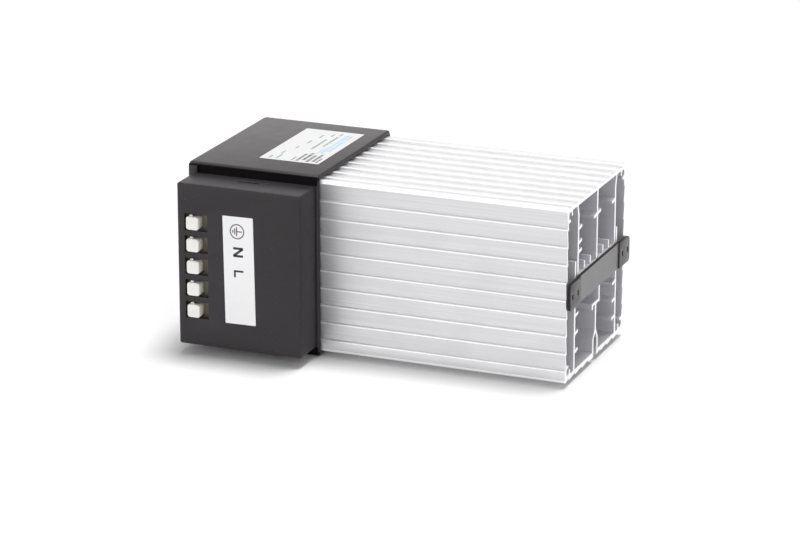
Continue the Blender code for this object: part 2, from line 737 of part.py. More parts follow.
def make_end_bar(black):
    """Insulating bar over the outlet end of the chamber, with a plug that fits into it."""
    front = PROFILE_FRONT_Y + BAR_FRONT_INSET
    back = PROFILE_BACK_Y + BAR_BACK_REACH
    middle = PROFILE_BOTTOM_Z + CHAMBER_FLOOR_Z + CHAMBER_HEIGHT / 2
    low = middle - BAR_HEIGHT / 2
    high = middle + BAR_HEIGHT / 2
    loops = [rounded_rectangle(front, back, low, high, BAR_CORNER, 3)]
    for end, way in ((front, 1), (back, -1)):
        for index in range(2):
            near = end + way * (BAR_HOLE_INSET + index * BAR_HOLE_SPACE)
            half = BAR_HOLE_WIDTH / 2
            rise = BAR_HOLE_HEIGHT / 2
            loops.append(rectangle(near - half, near + half, middle - rise, middle + rise))
    outer = OUTLET_X + BAR_PROUD
    made = add_object("end_bar", prism("end_bar", loops, "X", OUTLET_X + GAP, outer), black)
    recess = rectangle(front + BAR_BLOCK, back - BAR_BLOCK, low - BAR_CORNER, high + BAR_CORNER)
    cut(made, "bar_recess", [([recess], "X", outer - BAR_RECESS, outer + WEB)])
    plug = rectangle(PROFILE_FRONT_Y + FRONT_WEB_Y, PROFILE_FRONT_Y + BACK_WEB_Y,
                     PROFILE_BOTTOM_Z + CHAMBER_FLOOR_Z + GAP, PROFILE_BOTTOM_Z + CHAMBER_TOP_Z - GAP)
    cut(made, "bar_plug", [([plug], "X", OUTLET_X - BAR_PLUG_DEPTH, OUTLET_X + 2 * GAP)], operation="UNION")


def cap_limits(inset=0.0):
    return (CAP_FRONT_Y + inset, CAP_FRONT_Y + CAP_DEPTH - inset, inset, CAP_HEIGHT - inset)


def lead_slot():
    """The opening for the leads in the front walls of the cap and the spacer."""
    low = FAN_OUTLET_X + LEAD_SLOT_INSET
    high = PROFILE_INLET_X - LEAD_SLOT_INSET
    half = LEAD_SLOT_HEIGHT / 2
    outline = rounded_rectangle(low, high, CENTRE_Z - half, CENTRE_Z + half, WEB, 2)
    return [([outline], "Y", CAP_FRONT_Y - CAP_WALL / 2, PROFILE_FRONT_Y + 2 * SPACER_WALL)]


def latch_tongues():
    """Two hooked tongues that stand on the cap's front, inside the cover's end walls."""
    low = COVER_X + LATCH_INSET + TONGUE_END_ROOM
    high = low + LATCH_LENGTH - 2 * TONGUE_END_ROOM
    slot_y = COVER_FACE_Y + LATCH_Y
    root = CAP_FRONT_Y + CAP_WALL / 2
    tongues = []
    for side in (-1, 1):
        wall = CENTRE_Z + side * (COVER_HEIGHT / 2 - COVER_WALL)
        inner = wall - side * (GAP + TONGUE_THICK)
        outer = wall - side * GAP
        tip = wall + side * (COVER_WALL - 2 * GAP)
        front = slot_y - LATCH_SLOT / 2 + GAP
        back = slot_y + LATCH_SLOT / 2 - GAP
        outline = [(root, inner), (front, inner), (front, outer), (back - GAP, tip), (back, tip),
                   (back, outer), (root, outer)]
        tongues.append(([outline], "X", low, high))
    return tongues


def cover_pockets():
    """Shallow pockets in the cap's front, beyond the cover's two end walls."""
    low = INLET_X + POCKET_INSET
    high = RIM_X - RIM_TAPER
    pockets = []
    for side in (-1, 1):
        near = CENTRE_Z + side * COVER_HEIGHT / 2
        far = near + side * POCKET_HEIGHT
        outline = rectangle(low, high, min(near, far), max(near, far))
        pockets.append(([outline], "Y", CAP_FRONT_Y - WEB, CAP_FRONT_Y + POCKET_DEPTH))
    return pockets


def make_cap(black):
    """Moulded cap: an open shell with a stepped inlet opening, screw seats and latch tongues."""
    rings = rounded_end_rings(cap_limits(), CAP_EDGE_RADIUS, CAP_END_RADIUS, (INLET_X, RIM_X - RIM_TAPER))
    rings.append((RIM_X, rounded_rectangle(*cap_limits(CAP_WALL - RIM_EDGE), CORNER_RADIUS, 4)))
    made = add_object("cap", stack("cap", rings, "X"), black)
    cut(made, "cap_tongues", latch_tongues(), operation="UNION")
    room = rounded_rectangle(*cap_limits(CAP_WALL), CORNER_RADIUS, 2)
    start = INLET_X + CAP_END_WALL
    cut(made, "cap_room", [([room], "X", start, RIM_X + CAP_WALL)])
    centre = (CENTRE_Y, CENTRE_Z)
    through = [([circle(centre, FAN_BORE_RADIUS, BORE_STEPS)], "X", INLET_X - WEB, start + WEB)]
    seat = INLET_X + GUARD_THICK + GAP
    seats = [([circle(centre, FAN_BORE_RADIUS + GUARD_SEAT + GAP, BORE_STEPS)], "X", INLET_X - WEB, seat)]
    for corner in corner_places():
        through.append(([circle(corner, SCREW_HOLE_RADIUS, 16)], "X", INLET_X - WEB, start + WEB))
        head_seat = INLET_X + SCREW_HEAD_HEIGHT + GAP
        seats.append(([circle(corner, SCREW_HEAD_RADIUS + GAP, 20)], "X", INLET_X - WEB, head_seat))
    cut(made, "cap_through_holes", through)
    cut(made, "cap_seats", seats)
    cut(made, "cap_lead_slot", lead_slot())
    cut(made, "cap_cover_pockets", cover_pockets())
    bake(made)


def make_guard(black):
    """Round finger guard with concentric slots between spokes."""
    centre = (CENTRE_Y, CENTRE_Z)
    outer = FAN_BORE_RADIUS + GUARD_SEAT
    loops = [circle(centre, outer, BORE_STEPS)]
    radius = GUARD_HUB_RADIUS
    while radius + GUARD_SLOT_WIDTH + GUARD_RING_WIDTH <= FAN_BORE_RADIUS + GAP:
        far = radius + GUARD_SLOT_WIDTH
        steps = 3 + int(radius / GUARD_FACET)
        span = 360 / GUARD_SPOKES
        for spoke in range(GUARD_SPOKES):
            turn = span * (spoke + 0.5)
            near_half = math.degrees(math.asin(GUARD_SPOKE_WIDTH / 2 / radius))
            far_half = math.degrees(math.asin(GUARD_SPOKE_WIDTH / 2 / far))
            slot = arc(centre, far, turn + far_half, turn + span - far_half, steps)
            slot += arc(centre, radius, turn + span - near_half, turn + near_half, steps)
            loops.append(slot)
        radius = far + GUARD_RING_WIDTH
    add_object("intake_guard", prism("intake_guard", loops, "X", INLET_X, INLET_X + GUARD_THICK), black)


def make_fan_frame(black):
    """Square axial fan frame: two flanges, a round duct and struts that hold the motor base."""
    half_y = PROFILE_DEPTH / 2 - FAN_ROOM
    half_z = PROFILE_HEIGHT / 2 - FAN_ROOM
    bore = circle((0, 0), FAN_BORE_RADIUS, BORE_STEPS)
    flange = [rounded_rectangle(-half_y, half_y, -half_z, half_z, 2 * CORNER_RADIUS, 3), bore]
    for across, up in corner_places():
        flange.append(circle((across - CENTRE_Y, up - CENTRE_Z), SCREW_HOLE_RADIUS, 12))
    where = (FAN_INLET_X, CENTRE_Y, CENTRE_Z)
    made = add_object("fan_frame", prism("fan_frame", flange, "X", 0, FAN_FLANGE), black, where)
    duct = [circle((0, 0), FAN_BORE_RADIUS + FAN_RING_WALL, BORE_STEPS), bore]
    base = [circle((0, 0), MOTOR_BASE_RADIUS, 32), circle((0, 0), BEARING_RADIUS + GAP, 16)]
    cut(made, "fan_back_flange", [(flange, "X", FAN_DEPTH - FAN_FLANGE, FAN_DEPTH)], where, "UNION")
    cut(made, "fan_duct", [(duct, "X", FAN_FLANGE / 2, FAN_DEPTH - FAN_FLANGE / 2)], where, "UNION")
    cut(made, "motor_base", [(base, "X", FAN_DEPTH - STRUT_THICK, FAN_DEPTH)], where, "UNION")
    near = MOTOR_BASE_RADIUS - WEB
    far = FAN_BORE_RADIUS + FAN_RING_WALL / 2
    struts = []
    for index in range(STRUTS):
        turn = 2 * math.pi * (index + 0.5) / STRUTS
        along = Vector((math.cos(turn), math.sin(turn)))
        side = Vector((-along.y, along.x)) * (STRUT_WIDTH / 2)
        outline = [tuple(along * near - side), tuple(along * far - side),
                   tuple(along * far + side), tuple(along * near + side)]
        struts.append(([outline], "X", FAN_DEPTH - STRUT_THICK, FAN_DEPTH))
    cut(made, "fan_struts", struts, where, "UNION")
    bake(made)


def blade_ring(radius, share):
    """Blade section on a cylinder: points down one side and back up the other."""
    pitch = math.radians(BLADE_ROOT_ANGLE + (BLADE_TIP_ANGLE - BLADE_ROOT_ANGLE) * share)
    sides = []
    for side in (1, -1):
        row = []
        for step in range(BLADE_STEPS + 1):
            share_along = step / BLADE_STEPS
            chord = (share_along - 0.5) * BLADE_CHORD
            camber = BLADE_CAMBER * (1 - (2 * share_along - 1) ** 2)
            thin = BLADE_THICK / 2 * (0.5 + 0.5 * math.sin(math.pi * share_along))
            lift = camber + side * thin
            axial = chord * math.sin(pitch) - lift * math.cos(pitch)
            across = chord * math.cos(pitch) + lift * math.sin(pitch)
            turn = across / radius + math.radians(BLADE_SWEEP) * share
            row.append(Vector((axial, radius * math.cos(turn), radius * math.sin(turn))))
        sides.append(row)
    return sides


def make_blades():
    bm = bmesh.new()
    tip = FAN_BORE_RADIUS - BLADE_TIP_GAP
    root = HUB_RADIUS - HUB_WALL / 2
    stations = 4
    for blade in range(BLADE_COUNT):
        turn = Matrix.Rotation(2 * math.pi * blade / BLADE_COUNT, 3, "X")
        rows = []
        for station in range(stations):
            share = station / (stations - 1)
            upper, lower = blade_ring(root + (tip - root) * share, share)
            rows.append([[bm.verts.new(turn @ point) for point in side] for side in (upper, lower)])
        for near, far in zip(rows, rows[1:]):
            loop_near = near[0] + near[1][::-1]
            loop_far = far[0] + far[1][::-1]
            for index in range(len(loop_near)):
                after = (index + 1) % len(loop_near)
                bm.faces.new((loop_near[index], loop_near[after], loop_far[after], loop_far[index]))
        for upper, lower in (rows[0], rows[-1]):
            for index in range(len(upper) - 1):
                bm.faces.new((upper[index], upper[index + 1], lower[index + 1], lower[index]))
    return finish_mesh(bm, "fan_blades", 40)


def make_rotor(black, steel, magnet):
    """Impeller, magnet ring and shaft, all on the fan's axis."""
    hub_x = FAN_INLET_X + HUB_SETBACK
    where = (hub_x, CENTRE_Y, CENTRE_Z)
    inner = HUB_RADIUS - HUB_WALL
    outline = [(0, 0), (0, HUB_RADIUS - HUB_EDGE), (HUB_EDGE * 0.3, HUB_RADIUS - HUB_EDGE * 0.3),
               (HUB_EDGE, HUB_RADIUS), (HUB_LENGTH, HUB_RADIUS), (HUB_LENGTH, inner),
               (HUB_WALL, inner), (HUB_WALL, 0)]
    made = add_object("impeller", turned("impeller", outline, 28), black, where)
    blade_x = hub_x + HUB_LENGTH / 2
    add_boolean(made, add_cutter("impeller_blades", make_blades(), (blade_x, CENTRE_Y, CENTRE_Z)), "UNION")
    bake(made)
    start = HUB_WALL + GAP
    ring = [circle((0, 0), inner - SHAFT_GAP, 28), circle((0, 0), inner - SHAFT_GAP - MAGNET_THICK, 28)]
    ring_mesh = prism("rotor_magnet", ring, "X", start, HUB_LENGTH - HUB_WALL, 30)
    add_object("rotor_magnet", ring_mesh, magnet, where)
    tip = FAN_DEPTH - STRUT_THICK - HUB_SETBACK
    foot = start - GAP / 2
    rod = [(foot, 0), (foot, SHAFT_RADIUS), (tip, SHAFT_RADIUS), (tip, 0)]
    add_object("fan_shaft", turned("fan_shaft", rod, 20), steel, where)


def make_stator(copper, brass, green):
    """Bearing, wound core and circuit board on the motor base."""
    outlet = FAN_INLET_X + FAN_DEPTH
    where = (outlet, CENTRE_Y, CENTRE_Z)
    bearing = [circle((0, 0), BEARING_RADIUS, 20), circle((0, 0), SHAFT_RADIUS + SHAFT_GAP, 20)]
    bearing_end = -STRUT_THICK / 2
    bearing_mesh = prism("fan_bearing", bearing, "X", bearing_end - BEARING_LENGTH, bearing_end, 30)
    add_object("fan_bearing", bearing_mesh, brass, where)
    reach = HUB_RADIUS - HUB_WALL - SHAFT_GAP - MAGNET_THICK - 2 * GAP
    yoke = BEARING_RADIUS + GAP
    step = 360 / STATOR_POLES
    outline = []
    for pole in range(STATOR_POLES):
        middle = step * pole
        tooth = step * STATOR_TOOTH / 2
        shoe = step * STATOR_SHOE / 2
        outline += arc((0, 0), yoke * STATOR_YOKE, middle - step / 3, middle - 2 * tooth, 2)
        outline += arc((0, 0), reach * STATOR_NECK, middle - tooth, middle - tooth * 1.05, 1)
        outline += arc((0, 0), reach, middle - shoe, middle + shoe, 7)
        outline += arc((0, 0), reach * STATOR_NECK, middle + tooth * 1.05, middle + tooth, 1)
        outline += arc((0, 0), yoke * STATOR_YOKE, middle + 2 * tooth, middle + step / 3, 2)
    core_end = -STRUT_THICK - GAP - BOARD_THICK - GAP
    core = prism("fan_stator", [outline, circle((0, 0), yoke, 20)], "X", core_end - STATOR_THICK, core_end)
    add_object("fan_stator", core, copper, where)
    board = [circle((0, 0), reach, 32), circle((0, 0), yoke, 20)]
    board_end = -STRUT_THICK - GAP
    board_mesh = prism("fan_circuit_board", board, "X", board_end - BOARD_THICK, board_end)
    add_object("fan_circuit_board", board_mesh, green, where)


def make_spacer(black):
    """Square duct between the fan and the profile, with tubes for the case screws."""
    low_y, low_z = PROFILE_FRONT_Y, PROFILE_BOTTOM_Z
    high_y, high_z = low_y + PROFILE_DEPTH, low_z + PROFILE_HEIGHT
    wall = SPACER_WALL
    boss = PORT_INSET + SCREW_HOLE_RADIUS + wall
    front, back, bottom, top = low_y + wall, high_y - wall, low_z + wall, high_z - wall
    near, far, low, high = low_y + boss, high_y - boss, low_z + boss, high_z - boss
    room = [(near, bottom), (far, bottom), (far, low), (back, low), (back, high), (far, high),
            (far, top), (near, top), (near, high), (front, high), (front, low), (near, low)]
    loops = [rounded_rectangle(low_y, high_y, low_z, high_z, CORNER_RADIUS, 2), room]
    loops += [circle(corner, SCREW_HOLE_RADIUS, 16) for corner in corner_places()]
    mesh = prism("duct_spacer", loops, "X", FAN_OUTLET_X + GAP, PROFILE_INLET_X - GAP)
    made = add_object("duct_spacer", mesh, black)
    cut(made, "spacer_lead_slot", lead_slot())


def make_cutout(steel):
    """Button-shaped thermal cut-out on the spacer's back wall."""
    outline = [(0, 0), (0, CUTOUT_RADIUS), (CUTOUT_SHOULDER, CUTOUT_RADIUS), (CUTOUT_SHOULDER, CUTOUT_NECK),
               (CUTOUT_HEIGHT, CUTOUT_NECK), (CUTOUT_HEIGHT, 0)]
    made = add_object("thermal_cutout", turned("thermal_cutout", outline, 24), steel)
    middle = (FAN_OUTLET_X + PROFILE_INLET_X) / 2
    made.location = (middle, PROFILE_BACK_Y - SPACER_WALL - GAP, CENTRE_Z)
    made.rotation_euler = (0, 0, -math.pi / 2)


def screw_mesh(name, radius, head_radius, head_height, length):
    """Pan head screw along +X from its head, with a cross recess."""
    crown = head_height / 3
    outline = [(0, 0), (0, head_radius - crown), (crown, head_radius), (head_height, head_radius),
               (head_height, radius), (length - radius, radius), (length, radius / 3), (length, 0)]
    made = add_object(name, turned(name, outline, 12), None)
    arm = head_radius / 2
    half = SCREW_CROSS / 2
    cross = [(half, half), (arm, half), (arm, -half), (half, -half), (half, -arm), (-half, -arm),
             (-half, -half), (-arm, -half), (-arm, half), (-half, half), (-half, arm), (half, arm)]
    tool = add_cutter("screw_cross", prism("screw_cross", [cross], "X", -head_height, head_height / 2))
    add_boolean(made, tool)
    finished = bake(made)
    bpy.data.objects.remove(made, do_unlink=True)
    bpy.data.objects.remove(tool, do_unlink=True)
    finished.materials.clear()
    return finished


def make_case_screws(steel):
    length = PROFILE_INLET_X + SCREW_BITE - INLET_X
    mesh = screw_mesh("case_screw", SCREW_RADIUS, SCREW_HEAD_RADIUS, SCREW_HEAD_HEIGHT, length)
    for index, (across, up) in enumerate(corner_places()):
        add_object(f"case_screw_{index + 1}", mesh, steel, (INLET_X, across, up))


def cover_limits(inset=0.0):
    return (COVER_X + inset, COVER_X + COVER_LENGTH - inset,
            CENTRE_Z - COVER_HEIGHT / 2 + inset, CENTRE_Z + COVER_HEIGHT / 2 - inset)


def pole_heights():
    first = CENTRE_Z - POLE_DROP - POLE_PITCH * (POLE_COUNT - 1) / 2
    return [first + POLE_PITCH * index for index in range(POLE_COUNT)]


def make_cover(black):
    """Terminal cover: an open box with button windows, wire entries and latch slots."""
    rings = rounded_end_rings(cover_limits(), COVER_EDGE_RADIUS, COVER_EDGE_RADIUS,
                              (COVER_FACE_Y, CAP_FRONT_Y - GAP), 3)
    made = add_object("terminal_cover", stack("terminal_cover", rings, "Y"), black)
    room = rectangle(*cover_limits(COVER_WALL))
    cut(made, "cover_room", [([room], "Y", COVER_FACE_Y + COVER_WALL, CAP_FRONT_Y + WEB)])
    windows = []
    entries = []
    for height in pole_heights():
        sill = height - BUTTON_SIZE / 2 - WINDOW_ROOM
        window = rectangle(WINDOW_X, WINDOW_X + WINDOW_LENGTH, sill, sill + WINDOW_HEIGHT)
        windows.append(([window], "Y", COVER_FACE_Y - WEB, COVER_FACE_Y + COVER_WALL + WEB))
        entry = circle((POLE_FACE_Y + ENTRY_DEPTH, height), ENTRY_RADIUS + GAP / 2, 16)
        entries.append(([entry], "X", COVER_X - WEB, COVER_X + COVER_WALL + WEB))
    cut(made, "cover_windows", windows)
    cut(made, "cover_wire_entries", entries)
    slot_y = COVER_FACE_Y + LATCH_Y
    start = COVER_X + LATCH_INSET
    latch = rectangle(start, start + LATCH_LENGTH, slot_y - LATCH_SLOT / 2, slot_y + LATCH_SLOT / 2)
    slots = []
    for side in (-1, 1):
        near = CENTRE_Z + side * (COVER_HEIGHT / 2 - COVER_WALL - GAP)
        far = CENTRE_Z + side * (COVER_HEIGHT / 2 + WEB)
        slots.append(([latch], "Z", min(near, far), max(near, far)))
    cut(made, "cover_latch_slots", slots)
    bake(made)


def make_pole_body(beige):
    """One pole's housing, with its face at y 0: button well, spring room, wire entry, contact slot."""
    half = POLE_WIDTH / 2
    depth = CAP_FRONT_Y - GAP - POLE_FACE_Y
    outline = [(0, 0), (POLE_LENGTH, 0), (POLE_LENGTH, depth), (0, depth)]
    made = add_object("pole_body", prism("pole_body", [outline], "Z", -half, half), None)
    reach = BUTTON_SIZE / 2 + SLIDE_GAP
    floor = WELL_DEPTH + CAVITY_DEPTH
    well = rectangle(BUTTON_INSET - reach, BUTTON_INSET + reach, -reach, reach)
    room = rectangle(CAVITY_WALL, POLE_LENGTH - CAVITY_WALL, -CAVITY_WIDTH / 2, CAVITY_WIDTH / 2)
    entry = circle((ENTRY_DEPTH, 0), ENTRY_RADIUS, 16)
    slot_half = CONTACT_WIDTH / 2 + GAP
    slot = rectangle(floor - CONTACT_THICK - 2 * GAP, floor, -slot_half, slot_half)
    cutters = []
    for name, loop, axis, start, end in (
            ("pole_well", well, "Y", -WEB, WELL_DEPTH),
            ("pole_room", room, "Y", WELL_DEPTH - WEB / 2, floor),
            ("pole_entry", entry, "X", -WEB, CAVITY_WALL + GAP),
            ("pole_slot", slot, "X", POLE_LENGTH - CAVITY_WALL - GAP, POLE_LENGTH + WEB)):
        cutters.append(add_cutter(name, prism(name, [loop], axis, start, end)))
        add_boolean(made, cutters[-1])
    finished = bake(made)
    for item in cutters + [made]:
        bpy.data.objects.remove(item, do_unlink=True)
    finished.materials.clear()
    finished.materials.append(beige)
    return finished


def make_button_mesh():
    """Push button along +Y from its face, with a foot that meets the spring and a nub above."""
    half = BUTTON_SIZE / 2
    length = BUTTON_PROUD + POLE_FACE + BUTTON_GUIDE
    rings = rounded_end_rings((-half, half, -half, half), BUTTON_CORNER, BUTTON_EDGE, (0, length), 3)
    made = add_object("button", stack("button", rings, "Y"), None)
    foot = rectangle(-BUTTON_FOOT_LENGTH / 2, BUTTON_FOOT_LENGTH / 2, -CONTACT_WIDTH / 2, CONTACT_WIDTH / 2)
    foot_mesh = prism("button_foot", [foot], "Y", length - WEB, length + BUTTON_FOOT)
    nub_end = BUTTON_PROUD + POLE_FACE - BUTTON_TRAVEL - GAP
    nub_low = -BUTTON_NUB_SIDE - BUTTON_NUB_WIDTH / 2
    nub = rectangle(nub_low, nub_low + BUTTON_NUB_WIDTH, half - WEB, half + BUTTON_NUB)
    nub_mesh = prism("button_nub", [nub], "Y", nub_end - BUTTON_NUB_LENGTH, nub_end)
    cutters = [add_cutter("button_foot", foot_mesh), add_cutter("button_nub", nub_mesh)]
    for item in cutters:
        add_boolean(made, item, "UNION")
    finished = bake(made)
    for item in cutters + [made]:
        bpy.data.objects.remove(item, do_unlink=True)
    finished.materials.clear()
    return finished


def make_terminals(beige, cream, steel, brass):
    """Five poles, each with its housing, push button, clamp spring and contact strip."""
    body = make_pole_body(beige)
    button = make_button_mesh()
    spring_top = WELL_DEPTH + BUTTON_FOOT + SPRING_THICK / 2
    contact_low = WELL_DEPTH + CAVITY_DEPTH - GAP - CONTACT_THICK
    spring_low = contact_low - GAP - SPRING_THICK / 2
    bend = POLE_LENGTH - CAVITY_WALL - GAP - (spring_low - spring_top) / 2 - SPRING_THICK
    radius = (spring_low - spring_top) / 2
    hairpin = [(CAVITY_WALL + 2 * WEB, spring_top), (bend, spring_top)]
    hairpin += arc((bend, spring_top + radius), radius, -70, 70, 5)
    hairpin += [(bend, spring_low), (CAVITY_WALL + WEB, spring_low)]
    half = CONTACT_WIDTH / 2
    spring = prism("clamp_spring", [ribbon(hairpin, SPRING_THICK)], "Z", -half, half)
    tab_end = POLE_LENGTH + CONTACT_TAB
    strip = rectangle(CAVITY_WALL + GAP, tab_end, contact_low, contact_low + CONTACT_THICK)
    contact = prism("contact_strip", [strip], "Z", -half, half)
    for index, height in enumerate(pole_heights()):
        number = index + 1
        where = (POLE_X, POLE_FACE_Y, height)
        at_button = (POLE_X + BUTTON_INSET, COVER_FACE_Y - BUTTON_PROUD, height)
        add_object(f"terminal_body_{number}", body, beige, where)
        add_object(f"clamp_spring_{number}", spring, steel, where)
        add_object(f"contact_strip_{number}", contact, brass, where)
        add_object(f"terminal_button_{number}", button, cream, at_button)


def smooth_route(corners, spacing):
    """Points along a smooth curve through the corners, about one spacing apart."""
    padded = [corners[0] * 2 - corners[1]] + corners + [corners[-1] * 2 - corners[-2]]
    route = [corners[0]]
    for index in range(1, len(padded) - 2):
        before, start, end, after = padded[index - 1:index + 3]
        steps = max(2, round((end - start).length / spacing))
        for step in range(1, steps + 1):
            t = step / steps
            route.append(0.5 * (2 * start + (end - before) * t
                                + (2 * before - 5 * start + 4 * end - after) * t ** 2
                                + (3 * start - before - 3 * end + after) * t ** 3))
    return route


def make_lead(name, corners, material):
    """A round insulated lead along a smooth route."""
    curve = bpy.data.curves.new(name, "CURVE")
    curve.dimensions = "3D"
    curve.bevel_depth = LEAD_RADIUS
    curve.bevel_resolution = 2
    curve.use_fill_caps = True
    route = smooth_route([Vector(corner) for corner in corners], 3 * LEAD_RADIUS)
    spline = curve.splines.new("POLY")
    spline.points.add(len(route) - 1)
    for point, place_on_route in zip(spline.points, route):
        point.co = (*place_on_route, 1.0)
    curve.materials.append(material)
    made = bpy.data.objects.new(name, curve)
    bpy.context.scene.collection.objects.link(made)


def make_leads(brown, blue, yellow):
    """Leads from the contact strips, through the slot in the walls, to the element and the profile."""
    tab_x = POLE_X + POLE_LENGTH + CONTACT_TAB + GAP
    tab_y = POLE_FACE_Y + WELL_DEPTH + CAVITY_DEPTH - GAP - CONTACT_THICK / 2
    slot_x = (FAN_OUTLET_X + PROFILE_INLET_X) / 2
    wall_y = PROFILE_FRONT_Y
    middle = PROFILE_FRONT_Y + (FRONT_WEB_Y + BACK_WEB_Y) / 2
    levels = element_levels()
    tip_x = PROFILE_INLET_X + ELECTRODE_INSET - TAB_LENGTH - GAP
    heights = pole_heights()
    reach = LEAD_REACH
    ends = []
    for level, side in ((levels[1], -1), (levels[3], 1)):
        ends.append((tip_x, middle + side * (ELECTRODE_WIDTH / 2 - TAB_INSET), (level[0] + level[1]) / 2))
    for name, pole, end, shift, material in (("live_lead", 2, ends[0], -1, brown),
                                             ("neutral_lead", 3, ends[1], 1, blue)):
        inside_z = CENTRE_Z + shift * LEAD_SPREAD
        make_lead(name, [(tab_x, tab_y, heights[pole]), (tab_x + reach, tab_y - LEAD_RADIUS, heights[pole]),
                         (slot_x - LEAD_SPREAD / 2, tab_y - LEAD_RADIUS, (heights[pole] + inside_z) / 2),
                         (slot_x + LEAD_RADIUS, wall_y, inside_z), (slot_x, wall_y + 2 * reach, inside_z),
                         (end[0] - reach, (2 * end[1] + wall_y) / 3, (inside_z + end[2]) / 2),
                         (end[0] - reach, end[1] - LEAD_RADIUS, end[2]), end], material)
    web_y = PROFILE_FRONT_Y + FRONT_WEB_Y
    earth_z = PROFILE_BOTTOM_Z + CHAMBER_TOP_Z + EARTH_RISE
    make_lead("earth_lead", [(tab_x, tab_y, heights[4]), (tab_x + reach, tab_y - LEAD_RADIUS, heights[4]),
                             (slot_x, tab_y - 2 * LEAD_RADIUS, heights[4] - reach),
                             (slot_x + reach / 2, wall_y - reach / 2, CENTRE_Z + 2 * LEAD_SPREAD),
                             (slot_x + reach / 2, wall_y + reach, CENTRE_Z + 2 * LEAD_SPREAD + LEAD_RADIUS),
                             (PROFILE_INLET_X - reach / 2, web_y - LEAD_RADIUS, earth_z - LEAD_RADIUS),
                             (PROFILE_INLET_X - GAP, web_y, earth_z)], yellow)


def clip_screw_places():
    middle = RIM_X + CLIP_CENTRE
    return [middle - CLIP_SCREW_SPACE / 2, middle + CLIP_SCREW_SPACE / 2]


def make_rail_clip(black, steel):
    """One-piece moulded clip: a fixed hook at one end and a springy hook with a release tab."""
    half = RAIL_WIDTH / 2 + GAP
    seat = CLIP_BASE
    under = seat + RAIL_THICK + GAP
    top = under + CLIP_LIP
    wall = half + CLIP_WALL
    spring = wall - CLIP_WALL / 2
    tab = wall + CLIP_TAB
    slit = wall + CLIP_FLEX
    hook = half - CLIP_HOOK
    outline = [(-wall, 0), (spring, 0), (spring, seat / 2), (slit, seat / 2), (slit, 0),
               (tab, 0), (tab, seat - CLIP_FLEX / 2), (slit, seat + CLIP_LIP)]
    outline += [(wall, top - CLIP_LIP / 2), (spring, top), (half, top), (hook, under + CLIP_FLEX / 2),
                (hook, under), (half, under), (half, seat), (-half, seat), (-half, under)]
    outline += [(-hook, under), (-hook, top), (-spring, top), (-wall, top - CLIP_LIP)]
    where = (RIM_X + CLIP_CENTRE, PROFILE_BACK_Y + GAP, CENTRE_Z)
    body = prism("rail_clip", [outline], "Z", -CLIP_WIDTH / 2, CLIP_WIDTH / 2)
    made = add_object("rail_clip", body, black, where)
    head_seat = CLIP_BASE - CLIP_SCREW_HEAD_HEIGHT - GAP
    shanks = []
    heads = []
    for along in clip_screw_places():
        centre = (along - where[0], 0)
        shanks.append(([circle(centre, CLIP_SCREW_RADIUS + GAP, 12)], "Y", -WEB, head_seat + GAP / 2))
        heads.append(([circle(centre, CLIP_SCREW_HEAD + GAP, 16)], "Y", head_seat, CLIP_BASE + WEB))
    cut(made, "clip_shank_holes", shanks, where)
    cut(made, "clip_head_seats", heads, where)
    mesh = screw_mesh("clip_screw", CLIP_SCREW_RADIUS, CLIP_SCREW_HEAD, CLIP_SCREW_HEAD_HEIGHT,
                      CLIP_SCREW_LENGTH)
    for index, along in enumerate(clip_screw_places()):
        at_screw = (along, where[1] + CLIP_BASE, CENTRE_Z)
        screw = add_object(f"rail_clip_screw_{index + 1}", mesh, steel, at_screw)
        screw.rotation_euler = (0, 0, -math.pi / 2)


def main():
    clear_scene()
    aluminium = make_material("aluminium", (0.80, 0.80, 0.81), 0.35, 1.0)
    black = make_material("black_plastic", (0.035, 0.033, 0.034), 0.45)
    beige = make_material("terminal_plastic", (0.30, 0.28, 0.20), 0.5)
    cream = make_material("button_plastic", (0.86, 0.85, 0.80), 0.4)
    steel = make_material("spring_steel", (0.60, 0.60, 0.61), 0.3, 1.0)
    brass = make_material("brass", (0.72, 0.55, 0.28), 0.3, 1.0)
    copper = make_material("copper_winding", (0.62, 0.30, 0.15), 0.35, 1.0)
    film = make_material("insulating_film", (0.72, 0.42, 0.12), 0.4)
    ceramic = make_material("heating_ceramic", (0.22, 0.21, 0.21), 0.7)
    magnet = make_material("magnet", (0.12, 0.11, 0.11), 0.6)
    green = make_material("circuit_board", (0.05, 0.22, 0.10), 0.4)
    brown = make_material("brown_lead", (0.20, 0.09, 0.04), 0.5)
    blue = make_material("blue_lead", (0.05, 0.16, 0.45), 0.5)
    yellow = make_material("yellow_lead", (0.55, 0.60, 0.06), 0.5)
    make_profile(aluminium)
    make_element(film, aluminium, ceramic)
    make_end_bar(black)
    make_cap(black)
    make_guard(black)
    make_fan_frame(black)
    make_rotor(black, steel, magnet)
    make_stator(copper, brass, green)
    make_spacer(black)
    make_cutout(steel)
    make_case_screws(steel)
    make_cover(black)
    make_terminals(beige, cream, steel, brass)
    make_leads(brown, blue, yellow)
    make_rail_clip(black, steel)


main()
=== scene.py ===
"""Looks of the enclosure heater: rounded edges, materials, marks, floor, light and camera.

Lengths are in metres in the frame's axes: X runs from the cap to the outlet, the terminals are
on the side of -Y, and Z is up.
"""
import json
import math
import random

